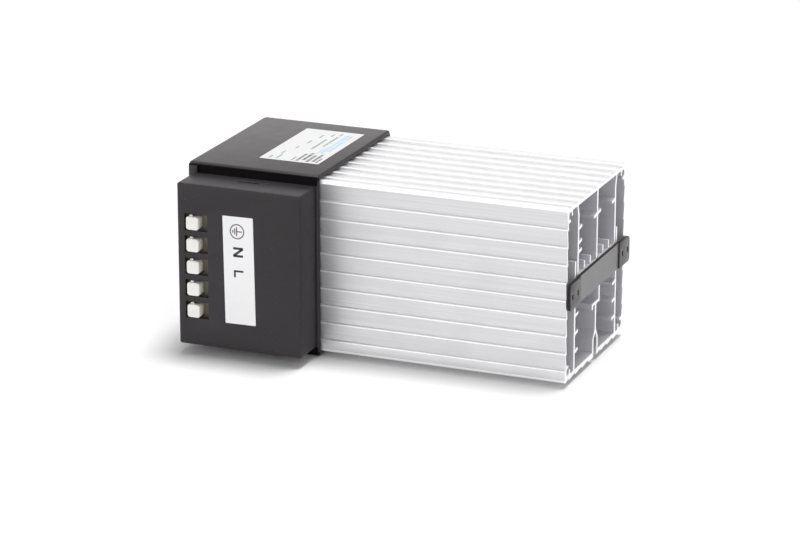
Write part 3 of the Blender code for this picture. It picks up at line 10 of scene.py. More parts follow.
import bmesh
import bpy
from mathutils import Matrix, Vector

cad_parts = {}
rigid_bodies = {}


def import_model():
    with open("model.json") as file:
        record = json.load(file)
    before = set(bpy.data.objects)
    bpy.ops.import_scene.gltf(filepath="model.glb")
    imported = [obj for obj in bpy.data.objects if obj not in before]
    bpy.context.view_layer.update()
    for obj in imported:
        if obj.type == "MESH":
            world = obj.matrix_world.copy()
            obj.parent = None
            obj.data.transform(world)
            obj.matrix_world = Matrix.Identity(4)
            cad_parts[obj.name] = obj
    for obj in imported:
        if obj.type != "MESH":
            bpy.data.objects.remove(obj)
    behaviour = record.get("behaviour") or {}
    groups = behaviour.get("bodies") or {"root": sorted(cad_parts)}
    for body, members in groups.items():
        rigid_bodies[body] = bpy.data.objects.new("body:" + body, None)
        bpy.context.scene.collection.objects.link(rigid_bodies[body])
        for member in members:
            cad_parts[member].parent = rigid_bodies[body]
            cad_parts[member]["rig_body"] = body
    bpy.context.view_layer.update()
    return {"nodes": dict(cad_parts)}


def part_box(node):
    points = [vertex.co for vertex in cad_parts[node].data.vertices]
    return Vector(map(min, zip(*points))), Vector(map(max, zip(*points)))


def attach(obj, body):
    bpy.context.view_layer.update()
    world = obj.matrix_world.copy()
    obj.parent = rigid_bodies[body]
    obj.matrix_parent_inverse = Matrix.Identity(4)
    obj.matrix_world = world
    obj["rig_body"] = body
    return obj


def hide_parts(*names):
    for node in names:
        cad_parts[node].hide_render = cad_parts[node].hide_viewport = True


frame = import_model()
scene = bpy.context.scene
nodes_of_frame = frame["nodes"]


# Procedural materials

PLAIN_NOISE = (0.3, 0.7)


class Surface:
    """A Principled material whose colour, roughness and relief come from node textures."""

    def __init__(self, name, colour, roughness, metallic=0.0, specular=0.5):
        self.material = bpy.data.materials.new(name)
        self.material.use_nodes = True
        self.tree = self.material.node_tree
        self.shader = self.tree.nodes["Principled BSDF"]
        self.shader.inputs["Base Color"].default_value = (*colour, 1)
        self.shader.inputs["Roughness"].default_value = roughness
        self.shader.inputs["Metallic"].default_value = metallic
        self.shader.inputs["Specular IOR Level"].default_value = specular
        self.colour = colour
        self.roughness = roughness
        self.place = self.tree.nodes.new("ShaderNodeTexCoord").outputs["Object"]
        self.relief = None

    def link(self, source, target):
        self.tree.links.new(source, target)

    def mapped(self, stretch):
        node = self.tree.nodes.new("ShaderNodeMapping")
        node.inputs["Scale"].default_value = stretch
        self.link(self.place, node.inputs["Vector"])
        return node.outputs["Vector"]

    def noise(self, stretch, detail, distortion=0.0):
        """Noise from its scale along X, Y and Z in cycles per metre."""
        node = self.tree.nodes.new("ShaderNodeTexNoise")
        node.inputs["Scale"].default_value = 1.0
        node.inputs["Detail"].default_value = detail
        node.inputs["Distortion"].default_value = distortion
        self.link(self.mapped(stretch), node.inputs["Vector"])
        return node.outputs["Fac"]

    def even_noise(self, scale, detail):
        return self.noise((scale, scale, scale), detail)

    def waves(self, stretch, distortion):
        node = self.tree.nodes.new("ShaderNodeTexWave")
        node.inputs["Scale"].default_value = 1.0
        node.inputs["Distortion"].default_value = distortion
        node.inputs["Detail"].default_value = 2.0
        self.link(self.mapped(stretch), node.inputs["Vector"])
        return node.outputs["Fac"]

    def spread(self, source, low, high, to_low, to_high):
        """The source's range from low to high, moved to the range from to_low to to_high."""
        node = self.tree.nodes.new("ShaderNodeMapRange")
        self.link(source, node.inputs["Value"])
        node.inputs["From Min"].default_value = low
        node.inputs["From Max"].default_value = high
        node.inputs["To Min"].default_value = to_low
        node.inputs["To Max"].default_value = to_high
        return node.outputs["Result"]

    def vary_colour(self, share, other):
        """Turn the colour towards another by a share that comes from a texture."""
        current = self.shader.inputs["Base Color"]
        node = self.tree.nodes.new("ShaderNodeMix")
        node.data_type = "RGBA"
        self.link(share, node.inputs["Factor"])
        if current.is_linked:
            self.link(current.links[0].from_socket, node.inputs["A"])
        else:
            node.inputs["A"].default_value = (*self.colour, 1)
        node.inputs["B"].default_value = (*other, 1)
        self.link(node.outputs["Result"], current)

    def vary_roughness(self, source, amount):
        """Let the roughness go up and down by the amount."""
        low = self.roughness - amount
        high = self.roughness + amount
        self.link(self.spread(source, *PLAIN_NOISE, low, high), self.shader.inputs["Roughness"])

    def bump(self, source, height, strength=1.0):
        """Add relief of this height in metres to the relief so far."""
        node = self.tree.nodes.new("ShaderNodeBump")
        node.inputs["Distance"].default_value = height
        node.inputs["Strength"].default_value = strength
        self.link(source, node.inputs["Height"])
        if self.relief is not None:
            self.link(self.relief, node.inputs["Normal"])
        self.relief = node.outputs["Normal"]
        self.link(self.relief, self.shader.inputs["Normal"])


CLOUD_SCALE = 60
CLOUD_NOISE = (0.35, 0.75)
DUST_SCALE = 1100
DUST_NOISE = (0.71, 0.76)
DUST_SHARE = 0.30
SMEAR_SCALE = 140
SWELL_SCALE = 25
SWELL_HEIGHT = 0.0003


def dimmed(colour, share):
    return tuple(value * share for value in colour)


def moulded(name, colour, roughness, grain=4500, height=0.00002, fade=1.12, specular=0.5):
    """Moulded plastic: soft cloudiness, a few dust specks, a fine grain and slight swells."""
    made = Surface(name, colour, roughness, specular=specular)
    cloud = made.spread(made.even_noise(CLOUD_SCALE, 4), *CLOUD_NOISE, 0, 1)
    made.vary_colour(cloud, tuple(min(1.0, value * fade + 0.0005) for value in colour))
    dust = made.spread(made.even_noise(DUST_SCALE, 1), *DUST_NOISE, 0, DUST_SHARE)
    made.vary_colour(dust, tuple(min(1.0, value * 2 + 0.05) for value in colour))
    made.vary_roughness(made.even_noise(SMEAR_SCALE, 5), amount=0.02)
    made.bump(made.even_noise(grain, 2), height)
    made.bump(made.even_noise(SWELL_SCALE, 2), SWELL_HEIGHT, strength=0.04)
    return made.material


BLOTCH_SCALE = 35
BLOTCH_NOISE = (0.5, 0.75)
LINE_NOISE = (0.35, 0.7)


def drawn_metal(name, colour, roughness, lines, metallic=1.0, height=0.000012, contrast=0.06):
    """Metal with fine lines, whose scale along X, Y and Z is given, and faint blotches."""
    made = Surface(name, colour, roughness, metallic)
    drawn = made.noise(lines, 3, 0.1)
    made.vary_roughness(drawn, amount=0.04)
    made.vary_colour(made.spread(drawn, *LINE_NOISE, 0, 1), dimmed(colour, 1 - contrast))
    blotch = made.spread(made.even_noise(BLOTCH_SCALE, 5), *BLOTCH_NOISE, 0, 1)
    made.vary_colour(blotch, dimmed(colour, 1 - contrast))
    made.bump(drawn, height)
    return made.material


SAW_LINES = (0, 700, 1500)
SAW_DEPTH = 0.00003
STAIN_SCALE = (0, 300, 300)
STAIN_NOISE = (0.4, 0.7)


def sawn_metal(name, colour, roughness):
    """Sawn end of the extrusion: slanted saw lines and slight stains."""
    made = Surface(name, colour, roughness, metallic=1.0)
    saw = made.waves(SAW_LINES, distortion=3.0)
    made.bump(saw, SAW_DEPTH, strength=0.6)
    made.vary_roughness(saw, amount=0.08)
    stain = made.spread(made.noise(STAIN_SCALE, 4), *STAIN_NOISE, 0, 1)
    made.vary_colour(stain, dimmed(colour, 0.93))
    return made.material


# The extrusion: drawn along X, with painted highlights on its edges and painted light inside, and
# sawn at its ends
ALUMINIUM = drawn_metal("extruded_aluminium", (0.60, 0.595, 0.605), 0.40, (9, 1500, 1500),
                        metallic=0.75, height=0.000004, contrast=0.10)
# Painted light: a lighter copy of the aluminium inside the channels and on the ledges
INNER_PAINTED_LIGHT = drawn_metal("inner_painted_light_aluminium", (0.745, 0.745, 0.77), 0.42, (12, 2600, 2600),
                              metallic=0.70, height=0.000004, contrast=0.035)
# Painted highlight: a lighter, less metallic copy of the aluminium on the lips, outer corners and
# top ridges
PAINTED_HIGHLIGHT = drawn_metal("painted_highlight_edges", (0.84, 0.835, 0.84), 0.40, (12, 2600, 2600),
                        metallic=0.55, height=0.000003, contrast=0.02)
SAWN = sawn_metal("sawn_aluminium", (0.77, 0.77, 0.775), 0.45)

# Cap, cover, bar and fan
CAP_PLASTIC = moulded("cap_plastic", (0.018, 0.013, 0.016), 0.46, specular=0.31)
COVER_PLASTIC = moulded("cover_plastic", (0.0135, 0.0095, 0.0125), 0.52, specular=0.35)
# Painted shade: a darker, duller plastic inside the cap's pockets beside the cover's ends
POCKET_PAINTED_SHADE = moulded("pocket_painted_shade", (0.006, 0.005, 0.005), 0.85, specular=0.1)
BAR_PLASTIC = moulded("bar_plastic", (0.028, 0.025, 0.027), 0.42, grain=3000)
# Painted sheen: a lighter plastic on the sunk middle of the bar's outer face
RECESS_PAINTED_SHEEN = moulded("bar_recess_painted_sheen", (0.13, 0.125, 0.13), 0.40, grain=3000)
# Painted shade: a darker, duller plastic on the bar's sides and the recess's walls
BAR_SIDE_PAINTED_SHADE = moulded("bar_side_painted_shade", (0.012, 0.009, 0.010), 0.55, grain=3000,
                           specular=0.2)
FAN_PLASTIC = moulded("fan_plastic", (0.018, 0.017, 0.018), 0.40)
BLADE_PLASTIC = moulded("blade_plastic", (0.014, 0.013, 0.014), 0.33)
POLE_PLASTIC = moulded("pole_plastic", (0.14, 0.12, 0.08), 0.48)
BUTTON_PLASTIC = moulded("button_plastic", (0.84, 0.825, 0.78), 0.38, grain=3500,
                         height=0.00001, fade=1.06)

# Metal and insulating pieces inside
STEEL = drawn_metal("zinc_steel", (0.60, 0.60, 0.61), 0.28, (500, 500, 500))
BRASS = drawn_metal("rolled_brass", (0.72, 0.53, 0.25), 0.30, (20, 900, 900))
ELECTRODE = drawn_metal("rolled_electrode", (0.78, 0.78, 0.79), 0.32, (20, 700, 700))
COPPER = drawn_metal("wound_copper", (0.66, 0.32, 0.15), 0.36, (1600, 60, 60), height=0.00008)
MAGNET = moulded("bonded_magnet", (0.06, 0.055, 0.055), 0.60)
BOARD = moulded("circuit_board", (0.03, 0.16, 0.07), 0.36)
FILM = moulded("insulating_film", (0.55, 0.27, 0.06), 0.30, grain=1200)
CERAMIC = moulded("fired_ceramic", (0.10, 0.095, 0.092), 0.66, grain=2500, height=0.00004)
BROWN = moulded("brown_insulation", (0.10, 0.04, 0.018), 0.42)
BLUE = moulded("blue_insulation", (0.02, 0.08, 0.32), 0.42)
YELLOW = moulded("earth_insulation", (0.42, 0.50, 0.03), 0.42)

# Labels and print
LABEL_GRAIN = 2500


def label_film(name, colour):
    return moulded(name, colour, 0.45, LABEL_GRAIN, height=0.000008, fade=0.97, specular=0.25)


def printed(name, colour):
    return moulded(name, colour, 0.42, LABEL_GRAIN, height=0.000005)


STRIP_FILM = label_film("strip_film", (0.90, 0.90, 0.91))
# Painted shade: the plate's film is darker than the strip's to offset the stronger light on the
# top
PLATE_FILM_PAINTED_SHADE = label_film("plate_painted_shade_film", (0.71, 0.71, 0.715))
INK = printed("printed_ink", (0.012, 0.011, 0.013))
EARTH_INK = printed("printed_brown", (0.045, 0.018, 0.018))
GREY_INK = printed("printed_grey", (0.20, 0.20, 0.22))
BLUE_INK = moulded("printed_blue", (0.33, 0.52, 0.64), 0.45, LABEL_GRAIN, height=0.000005,
                   fade=1.3, specular=0.25)


# Pieces made from the frame's own shapes, with their sharp edges rounded

WELD_DISTANCE = 0.000002
FLAT_ANGLE = 0.4
ROUNDED_ANGLE = 50
ROUNDED_LENGTH = 0.0008
SMOOTH_ANGLE = 35
FACING = 0.9


def show(name, mesh, materials, body, replaced=None):
    """A new piece on a body, which may replace a frame node."""
    piece = bpy.data.objects.new(name, mesh)
    scene.collection.objects.link(piece)
    for material in materials:
        mesh.materials.append(material)
    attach(piece, body)
    if replaced:
        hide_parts(replaced)
    return piece


def body_of_node(node):
    return nodes_of_frame[node]["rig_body"]


def welded(node):
    """The frame node's mesh with its split corners joined and its flat faces merged."""
    bm = bmesh.new()
    bm.from_mesh(nodes_of_frame[node].data)
    bmesh.ops.remove_doubles(bm, verts=bm.verts, dist=WELD_DISTANCE)
    bmesh.ops.dissolve_limit(bm, angle_limit=math.radians(FLAT_ANGLE),
                             verts=bm.verts, edges=bm.edges)
    return bm


def as_mesh(bm, name):
    mesh = bpy.data.meshes.new(name)
    bm.to_mesh(mesh)
    bm.free()
    return mesh


def shade(mesh, angle):
    """Smooth shading with sharp edges from this angle in degrees."""
    mesh.shade_smooth()
    mesh.set_sharp_from_angle(angle=math.radians(angle))


def is_rounded(edge):
    """Whether an edge turns outward sharply and is long enough to round."""
    if len(edge.link_faces) != 2 or not edge.is_convex:
        return False
    sharp = edge.calc_face_angle() > math.radians(ROUNDED_ANGLE)
    return sharp and edge.calc_length() > ROUNDED_LENGTH


def rounded(node, width, materials, pick=None):
    """A node's shape with its outward edges rounded; pick gives a face's material index."""
    bm = welded(node)
    chosen = [edge for edge in bm.edges if is_rounded(edge)]
    bmesh.ops.bevel(bm, geom=chosen, offset=width, segments=2, profile=0.5, affect="EDGES",
                    clamp_overlap=False, harden_normals=False)
    if pick:
        for face in bm.faces:
            face.material_index = pick(face.calc_center_median(), face.normal)
    mesh = as_mesh(bm, node + "_finish")
    shade(mesh, SMOOTH_ANGLE)
    return show(mesh.name, mesh, materials, body_of_node(node), node)


# The extrusion, swept again from its section with rounded corners

END_TOLERANCE = 0.0001
ROUND_TURN = 20
LONGEST_REACH = 0.42
SAME_POINT = 1e-7
BACKWARD_MEAN = 0.2
LEAST_MITRE = 0.6
RIDGE_ROUND = 0.0005
RIDGE_STEPS = 5
HOLE_ROUND = 0.00025
HOLE_STEPS = 3
END_EDGE = 0.00012
HIGHLIGHT_LENGTH = 0.0009
HIGHLIGHT_DEPTH = 0.00035
PROFILE_CORNER = 0.0012
TOP_RIDGES = 0.0025
PROFILE_SMOOTH_ANGLE = 32
PROFILE_LOOKS = [ALUMINIUM, SAWN, PAINTED_HIGHLIGHT, INNER_PAINTED_LIGHT]
PLAIN, SAWN_END, BRIGHT, INNER = range(4)


def lies_on_end(face, plane_x):
    beside = abs(face.calc_center_median().x - plane_x)
    return face.normal.x > FACING and beside < END_TOLERANCE


def end_loops(bm, plane_x):
    """The outline and holes of the end face that lies on plane_x, as lists of (y, z)."""
    follow = {}
    for edge in bm.edges:
        ends = [face for face in edge.link_faces if lies_on_end(face, plane_x)]
        if len(ends) == 1 and len(edge.link_faces) == 2:
            for loop in ends[0].loops:
                if loop.edge == edge:
                    follow[loop.vert] = loop.link_loop_next.vert
    loops = []
    while follow:
        vert = next(iter(follow))
        loop = []
        while vert in follow:
            loop.append(Vector((vert.co.y, vert.co.z)))
            vert = follow.pop(vert)
        loops.append(loop)
    return loops


def corner_arc(corner, before, after, turn, radius, steps):
    """Points of the arc that rounds a corner, smaller than radius where a side is short."""
    reach = radius * math.tan(turn / 2)
    reach = min(reach, LONGEST_REACH * before.length, LONGEST_REACH * after.length)
    size = reach / math.tan(turn / 2)
    first = corner + before.normalized() * reach
    last = corner + after.normalized() * reach
    inward = (before.normalized() + after.normalized()).normalized()
    centre = corner + inward * (size / math.cos(turn / 2))
    spoke = first - centre
    way = 1 if spoke.cross(last - centre) > 0 else -1
    points = []
    for step in range(steps + 1):
        angle = way * turn * step / steps
        across = spoke.x * math.cos(angle) - spoke.y * math.sin(angle)
        up = spoke.x * math.sin(angle) + spoke.y * math.cos(angle)
        points.append(centre + Vector((across, up)))
    return points


def filleted(loop, radius, steps):
    """The loop with each sharp corner rounded, by at most radius."""
    points = []
    for index, corner in enumerate(loop):
        before = loop[index - 1] - corner
        after = loop[(index + 1) % len(loop)] - corner
        turn = math.pi - before.angle(after)
        if turn < math.radians(ROUND_TURN):
            points.append(corner.copy())
        else:
            points.extend(corner_arc(corner, before, after, turn, radius, steps))
    return points


def inset_loop(loop, distance):
    """The loop moved to its left, which is into the material, by the distance."""
    moved = []
    for index, point in enumerate(loop):
        into = point - loop[index - 1]
        out = loop[(index + 1) % len(loop)] - point
        if into.length < SAME_POINT:
            into = out
        if out.length < SAME_POINT:
            out = into
        normal_in = Vector((-into.y, into.x)).normalized()
        normal_out = Vector((-out.y, out.x)).normalized()
        mean = normal_in + normal_out
        if mean.length < BACKWARD_MEAN:
            mean = normal_in
        mean.normalize()
        moved.append(point + mean * distance / max(mean.dot(normal_in), LEAST_MITRE))
    return moved


def loop_width(loop):
    return max(point.x for point in loop) - min(point.x for point in loop)


def outer_look(start, end, low, high):
    """The look of one side of the outline, in a section that reaches from low to high."""
    if (end - start).length > HIGHLIGHT_LENGTH:
        return PLAIN
    middle = (start + end) / 2
    depths = sorted((middle.x - low[1], high[1] - middle.x, middle.y - low[2], high[2] - middle.y))
    on_lip = depths[0] < HIGHLIGHT_DEPTH
    at_corner = depths[1] < PROFILE_CORNER
    on_top = high[2] - middle.y < TOP_RIDGES
    # Lips, outer corners and top ridges get the painted highlight; the other short sides get the
    # painted light
    return BRIGHT if on_lip or at_corner or on_top else INNER


def sweep_loop(made, loop, low_x, high_x, look):
    """The walls of one loop between its ends; returns the edges of its two end rings."""
    inner = inset_loop(loop, END_EDGE)
    rings = []
    for along, points in ((low_x, inner), (low_x + END_EDGE, loop),
                          (high_x - END_EDGE, loop), (high_x, inner)):
        rings.append([made.verts.new((along, point.x, point.y)) for point in points])
    count = len(loop)
    for near, far in zip(rings, rings[1:]):
        for index in range(count):
            after = (index + 1) % count
            side = made.faces.new((near[index], near[after], far[after], far[index]))
            side.material_index = look(loop[index], loop[after])
    end_edges = []
    for rim in (rings[0], rings[-1]):
        pairs = [(rim[index], rim[(index + 1) % count]) for index in range(count)]
        end_edges.append([made.edges.get(pair) for pair in pairs])
    return end_edges


def fill_end(made, edges):
    filled = bmesh.ops.triangle_fill(made, use_beauty=True, use_dissolve=False, edges=edges)
    for item in filled["geom"]:
        if isinstance(item, bmesh.types.BMFace):
            item.material_index = SAWN_END


def profile_piece():
    """The extrusion with rounded section corners and a fine edge round its sawn ends."""
    node = "heatsink_profile"
    low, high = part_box(node)
    bm = welded(node)
    loops = sorted(end_loops(bm, high[0]), key=loop_width, reverse=True)
    bm.free()
    made = bmesh.new()
    outline = filleted(loops[0], RIDGE_ROUND, RIDGE_STEPS)
    low_edges, high_edges = sweep_loop(made, outline, low[0], high[0],
                                       lambda start, end: outer_look(start, end, low, high))
    for loop in loops[1:]:
        hole = filleted(loop, HOLE_ROUND, HOLE_STEPS)
        low_more, high_more = sweep_loop(made, hole, low[0], high[0], lambda start, end: INNER)
        low_edges += low_more
        high_edges += high_more
    fill_end(made, low_edges)
    fill_end(made, high_edges)
    bmesh.ops.recalc_face_normals(made, faces=made.faces)
    mesh = as_mesh(made, "extrusion")
    shade(mesh, PROFILE_SMOOTH_ANGLE)
    return show("extrusion", mesh, PROFILE_LOOKS, body_of_node(node), node)


# Cap, cover, end bar, guard, clip and terminals

COVER_LOW, COVER_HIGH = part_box("terminal_cover")
CAP_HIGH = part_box("cap")[1]
BAR_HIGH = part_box("end_bar")[1]
FACE_Y = COVER_LOW[1]
TOP_Z = CAP_HIGH[2]
CAP_FRONT = CAP_HIGH[1] - TOP_Z
POCKET_DEPTHS = (0.0004, 0.0016)
POCKET_HEIGHT = 0.0037
BAR_SINKS = (0.0004, 0.0012)
SIDEWAYS = 0.3
MOULDED_ROUND = 0.0003
SMALL_ROUND = 0.0002
BODY_ROUND = 0.00015
TERMINALS = 5


def cap_look(place, normal):
    """1 for the faces inside the pockets beyond the cover's end walls, darkened as painted shade.
    """
    beyond = abs(place.z - TOP_Z / 2) - (COVER_HIGH[2] - COVER_LOW[2]) / 2
    sunk = POCKET_DEPTHS[0] < place.y - CAP_FRONT < POCKET_DEPTHS[1]
    return int(sunk and 0 < beyond < POCKET_HEIGHT)


def bar_look(place, normal):
    """1 for the sunk middle of the bar's outer face (painted sheen), 2 for its sides and the
    recess's walls (painted shade).
    """
    if normal.x > FACING:
        return int(BAR_SINKS[0] < BAR_HIGH[0] - place.x < BAR_SINKS[1])
    return 2 if abs(normal.x) < SIDEWAYS else 0


profile_piece()
rounded("cap", MOULDED_ROUND, [CAP_PLASTIC, POCKET_PAINTED_SHADE], pick=cap_look)
rounded("terminal_cover", MOULDED_ROUND, [COVER_PLASTIC])
rounded("end_bar", SMALL_ROUND, [BAR_PLASTIC, RECESS_PAINTED_SHEEN, BAR_SIDE_PAINTED_SHADE], pick=bar_look)
rounded("intake_guard", SMALL_ROUND, [FAN_PLASTIC])
rounded("rail_clip", SMALL_ROUND, [BAR_PLASTIC])
for number in range(1, TERMINALS + 1):
    rounded(f"terminal_body_{number}", BODY_ROUND, [POLE_PLASTIC])
    rounded(f"terminal_button_{number}", SMALL_ROUND, [BUTTON_PLASTIC])


# Carried-over frame nodes keep their shapes and get their own materials

NODE_LOOKS = {
    "fan_frame": FAN_PLASTIC,
    "duct_spacer": FAN_PLASTIC,
    "impeller": BLADE_PLASTIC,
    "rotor_magnet": MAGNET,
    "fan_shaft": STEEL,
    "fan_bearing": BRASS,
    "fan_stator": COPPER,
    "fan_circuit_board": BOARD,
    "thermal_cutout": STEEL,
    "lower_insulator": FILM,
    "upper_insulator": FILM,
    "lower_electrode": ELECTRODE,
    "upper_electrode": ELECTRODE,
    "live_lead": BROWN,
    "neutral_lead": BLUE,
    "earth_lead": YELLOW,
}
NUMBERED_LOOKS = (
    ("case_screw", 4, STEEL),
    ("rail_clip_screw", 2, STEEL),
    ("heating_stone", 4, CERAMIC),
    ("clamp_spring", TERMINALS, STEEL),
    ("contact_strip", TERMINALS, BRASS),
)
for kind, count, look in NUMBERED_LOOKS:
    for number in range(1, count + 1):
        NODE_LOOKS[f"{kind}_{number}"] = look
for node, look in NODE_LOOKS.items():
    nodes_of_frame[node].data.materials.clear()
    nodes_of_frame[node].data.materials.append(look)


# Marking strip and its generic marks

LABEL_THICK = 0.00006
INK_THICK = 0.00002
OUT_OF_FRONT = (0, -1, 0)
OUT_OF_TOP = (0, 0, 1)
QUARTER_STEPS = 5


def film(name, outlines, thick, outward, material):
    """Thin flat shapes as one piece of the housing, each from its corners in order."""
    bm = bmesh.new()
    for corners in outlines:
        base = bm.faces.new([bm.verts.new(corner) for corner in corners])
        raised = bmesh.ops.extrude_face_region(bm, geom=[base])
        moved = [item for item in raised["geom"] if isinstance(item, bmesh.types.BMVert)]
        bmesh.ops.translate(bm, vec=Vector(outward) * thick, verts=moved)
    bmesh.ops.recalc_face_normals(bm, faces=bm.faces)
    return show(name, as_mesh(bm, name), [material], "housing")


def soft_corners(low_a, high_a, low_b, high_b, radius):
    """A rectangle's outline with rounded corners."""
    points = []
    for centre_a, centre_b, start in ((high_a - radius, low_b + radius, -90),
                                      (high_a - radius, high_b - radius, 0),
                                      (low_a + radius, high_b - radius, 90),
                                      (low_a + radius, low_b + radius, 180)):
        for step in range(QUARTER_STEPS + 1):
            angle = math.radians(start + 90 * step / QUARTER_STEPS)
            points.append((centre_a + radius * math.cos(angle),
                           centre_b + radius * math.sin(angle)))
    return points


STRIP_MIDDLE = Vector((-0.0580, 0.0425))
STRIP_SIZE = (0.0148, 0.0501)
STRIP_CORNER = 0.0004
STRIP_TURN = math.radians(0.93)
INK_Y = FACE_Y - LABEL_THICK
RING_STEPS = 32


def turned(point):
    """A point of the strip as it lies: the strip is stuck on slightly askew."""
    right, up = Vector(point) - STRIP_MIDDLE
    return (STRIP_MIDDLE.x + right * math.cos(STRIP_TURN) - up * math.sin(STRIP_TURN),
            STRIP_MIDDLE.y + right * math.sin(STRIP_TURN) + up * math.cos(STRIP_TURN))


def marking_strip():
    outline = soft_corners(STRIP_MIDDLE.x - STRIP_SIZE[0] / 2, STRIP_MIDDLE.x + STRIP_SIZE[0] / 2,
                           STRIP_MIDDLE.y - STRIP_SIZE[1] / 2, STRIP_MIDDLE.y + STRIP_SIZE[1] / 2,
                           STRIP_CORNER)
    corners = [(a, FACE_Y, b) for a, b in map(turned, outline)]
    film("marking_strip", [corners], LABEL_THICK, OUT_OF_FRONT, STRIP_FILM)


def on_strip(name, shapes, material):
    """Print on the marking strip, from shapes whose points lie as on the upright strip."""
    outlines = [[(a, INK_Y, b) for a, b in map(turned, shape)] for shape in shapes]
    return film(name, outlines, INK_THICK, OUT_OF_FRONT, material)


def stroke(start, end, width):
    start = Vector(start)
    end = Vector(end)
    side = (end - start).normalized() * (width / 2)
    across = Vector((-side.y, side.x))
    return [start - across, end - across, end + across, start + across]


def on_circle(middle, radius, angle):
    return (middle[0] + radius * math.cos(angle), middle[1] + radius * math.sin(angle))


def ring(middle, radius, width):
    """A printed ring as short pieces side by side."""
    shapes = []
    for step in range(RING_STEPS):
        ends = [2 * math.pi * (step + share) / RING_STEPS for share in (0, 1)]
        inner = [on_circle(middle, radius - width, angle) for angle in ends]
        outer = [on_circle(middle, radius, angle) for angle in ends]
        shapes.append([inner[0], outer[0], outer[1], inner[1]])
    return shapes


EARTH_MIDDLE = (-0.05846, 0.0607)
EARTH_LINE = 0.00048
EARTH_RADIUS = 0.0035
EARTH_STEM = 0.0024
EARTH_FOOT = 0.0002
EARTH_BARS = (0.0021, 0.0014, 0.0007)
EARTH_BAR_STEP = 0.0009


def earth_sign():
    """The earth sign in its ring, lying on its side as in the photo."""
    middle_x, middle_z = EARTH_MIDDLE
    foot_x = middle_x - EARTH_FOOT
    shapes = ring(EARTH_MIDDLE, EARTH_RADIUS, EARTH_LINE)
    shapes.append(stroke((middle_x + EARTH_STEM, middle_z), (foot_x, middle_z), EARTH_LINE))
    for index, half in enumerate(EARTH_BARS):
        along = foot_x - EARTH_BAR_STEP * index
        shapes.append(stroke((along, middle_z - half), (along, middle_z + half), EARTH_LINE))
    on_strip("earth_sign", shapes, EARTH_INK)


LETTER_MIDDLE = -0.0582
LETTER_HALF = 0.00235
LETTER_LOW = LETTER_MIDDLE - LETTER_HALF
LETTER_HIGH = LETTER_MIDDLE + LETTER_HALF


def letter(name, centre_z, width, stem):
    """N or L, turned clockwise, so that its top points to +X."""
    left = centre_z + width / 2
    right = centre_z - width / 2
    shapes = [stroke((LETTER_LOW, left), (LETTER_HIGH, left), stem)]
    if name == "N":
        shapes.append(stroke((LETTER_LOW, right), (LETTER_HIGH, right), stem))
        shapes.append(stroke((LETTER_HIGH, left), (LETTER_LOW, right), stem))
    else:
        foot = LETTER_LOW + stem / 2
        shapes.append(stroke((foot, left), (foot, right), stem))
    on_strip("letter_" + name, shapes, INK)


marking_strip()
earth_sign()
letter("N", centre_z=0.0511, width=0.0035, stem=0.0011)
letter("L", centre_z=0.0408, width=0.0029, stem=0.0009)


# Rating plate, with rows of plain dashes in the place of print

PLATE = (-0.0637, -0.0347, -0.0170, 0.0370)
PLATE_CORNER = 0.0006
DASH_LENGTHS = (0.6, 1.8)
DASH_GAP = 0.5
MM_PER_METRE = 1000

# Each row: x, y start, y end and height, in mm from the plate's corner
PRINT_ROWS = (
    (19.5, 28, 45, 1.2), (19.5, 47, 50.5, 1.2), (16.2, 22, 39, 1.2), (16.2, 45, 49, 1),
    (12, 41, 46, 1), (10.5, 30, 35, 1), (9, 21, 24.5, 1), (6.5, 10, 15, 1),
    (7.5, 2.5, 9, 1), (4, 2, 6, 1), (15, 2, 8, 1),
)
DARK_ROWS = (
    (17.5, 2, 14, 1.4), (20, 4, 16, 1.6), (22.5, 2, 13, 1.6), (25, 3, 15, 1.4),
    (27, 2, 9, 1),
)
BLUE_ROWS = (
    (23.2, 17, 49, 1.4), (25.2, 20, 48, 1.3), (21.4, 17, 26, 1),
)


def rating_plate():
    corners = [(a, b, TOP_Z) for a, b in soft_corners(*PLATE, PLATE_CORNER)]
    film("rating_plate", [corners], LABEL_THICK, OUT_OF_TOP, PLATE_FILM_PAINTED_SHADE)


def print_rows(name, rows, material):
    """Print without words: dashes of uneven length in rows."""
    shapes = []
    for row_x, start_y, end_y, height in rows:
        low_x = row_x - height / 2
        high_x = row_x + height / 2
        here = start_y
        while here < end_y:
            length = random.uniform(*DASH_LENGTHS)
            there = min(here + length, end_y)
            shapes.append([(low_x, here), (high_x, here), (high_x, there), (low_x, there)])
            here += length + DASH_GAP
    corner = Vector((PLATE[0], PLATE[2], TOP_Z + LABEL_THICK))
    outlines = []
    for shape in shapes:
        outlines.append([corner + Vector((a, b, 0)) / MM_PER_METRE for a, b in shape])
    return film(name, outlines, INK_THICK, OUT_OF_TOP, material)


rating_plate()
random.seed(4)
print_rows("grey_print", PRINT_ROWS, GREY_INK)
print_rows("dark_print", DARK_ROWS, INK)
print_rows("blue_print", BLUE_ROWS, BLUE_INK)


# Floor and world

FLOOR_COLOUR = (0.92, 0.92, 0.92, 1)
FLOOR_SHEEN = 0.30
FLOOR_REACH = 6.0
SKY_LEVEL = 0.32


def larger_of(tree, first, second):
    node = tree.nodes.new("ShaderNodeMath")
    node.operation = "MAXIMUM"
    tree.links.new(first, node.inputs[0])
    tree.links.new(second, node.inputs[1])
    return node.outputs[0]


def level_by_ray(tree, diffuse, camera, glossy):
    """A strength that differs for diffuse, camera, and glossy or transmission rays."""
    paths = tree.nodes.new("ShaderNodeLightPath")
    either = larger_of(tree, paths.outputs["Is Glossy Ray"], paths.outputs["Is Transmission Ray"])
    levels = []
    for source, level in ((paths.outputs["Is Camera Ray"], camera), (either, glossy)):
        scaled = tree.nodes.new("ShaderNodeMapRange")
        scaled.inputs["To Min"].default_value = diffuse
        scaled.inputs["To Max"].default_value = level
        tree.links.new(source, scaled.inputs["Value"])
        levels.append(scaled.outputs["Result"])
    return larger_of(tree, *levels)


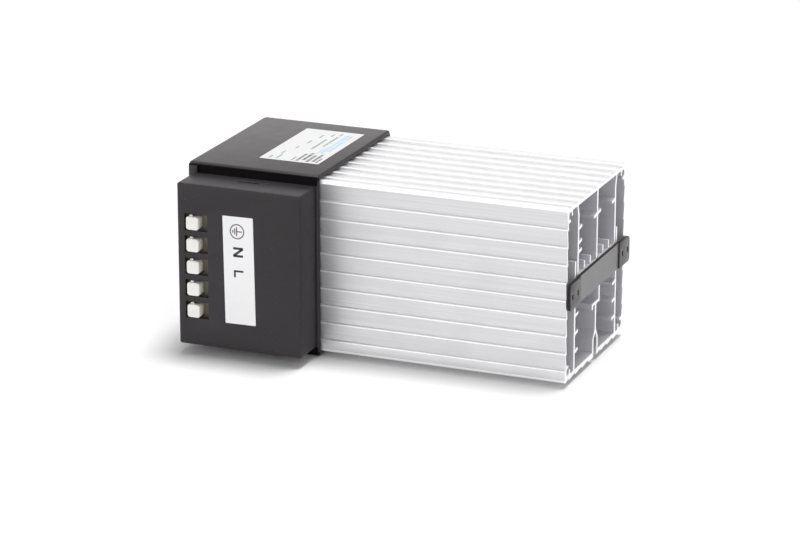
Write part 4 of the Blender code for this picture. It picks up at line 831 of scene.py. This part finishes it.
def floor_material():
    """Pale floor that keeps the shadows and adds a little light to what metal reflects."""
    material = bpy.data.materials.new("pale_floor")
    material.use_nodes = True
    tree = material.node_tree
    tree.nodes.clear()
    output = tree.nodes.new("ShaderNodeOutputMaterial")
    diffuse = tree.nodes.new("ShaderNodeBsdfDiffuse")
    diffuse.inputs["Color"].default_value = FLOOR_COLOUR
    glow = tree.nodes.new("ShaderNodeEmission")
    tree.links.new(level_by_ray(tree, 0.0, 0.0, FLOOR_SHEEN), glow.inputs["Strength"])
    both = tree.nodes.new("ShaderNodeAddShader")
    tree.links.new(diffuse.outputs[0], both.inputs[0])
    tree.links.new(glow.outputs[0], both.inputs[1])
    tree.links.new(both.outputs[0], output.inputs["Surface"])
    return material


def make_floor():
    mesh = bpy.data.meshes.new("floor")
    reach = FLOOR_REACH
    corners = [(-reach, -reach, 0), (reach, -reach, 0), (reach, reach, 0), (-reach, reach, 0)]
    mesh.from_pydata(corners, [], [(0, 1, 2, 3)])
    mesh.materials.append(floor_material())
    floor = bpy.data.objects.new("floor", mesh)
    scene.collection.objects.link(floor)


def make_world():
    """A white world that lights the object faintly and reads white to camera and metal."""
    world = bpy.data.worlds.new("studio")
    scene.world = world
    world.use_nodes = True
    tree = world.node_tree
    background = tree.nodes["Background"]
    background.inputs["Color"].default_value = (1, 1, 1, 1)
    tree.links.new(level_by_ray(tree, SKY_LEVEL, 1.0, 1.0), background.inputs["Strength"])


# Lamps: name, the direction that the light comes from, strength and spread in degrees
LAMPS = (
    ("above_light", (0.10, 0.13, 1.0), 2.35, 18),
    ("right_light", (0.65, -0.72, 0.13), 0.66, 50),
    ("left_light", (-0.75, -0.70, 0.09), 1.30, 50),
    ("back_light", (-0.36, 0.88, 0.34), 0.25, 40),
)


def make_lamps():
    for name, toward, energy, angle in LAMPS:
        lamp = bpy.data.lights.new(name, "SUN")
        lamp.energy = energy
        lamp.angle = math.radians(angle)
        made = bpy.data.objects.new(name, lamp)
        made.location = toward
        made.rotation_euler = (-Vector(toward)).to_track_quat("-Z", "Y").to_euler()
        scene.collection.objects.link(made)


# Camera, fitted to the photo's edges: angles in degrees, lens and sensor in mm
CAMERA_PLACE = (0.53420, -1.32095, 0.49259)
CAMERA_TURN = (72.2392, -0.0797, 22.1166)
CAMERA_LENS = 148.576
CAMERA_SENSOR = 36


def make_camera():
    camera_data = bpy.data.cameras.new("camera")
    camera_data.lens = CAMERA_LENS
    camera_data.sensor_width = CAMERA_SENSOR
    camera = bpy.data.objects.new("camera", camera_data)
    camera.location = CAMERA_PLACE
    camera.rotation_euler = tuple(math.radians(angle) for angle in CAMERA_TURN)
    scene.collection.objects.link(camera)
    scene.camera = camera


make_floor()
make_world()
make_lamps()
make_camera()
scene.view_settings.view_transform = "Standard"
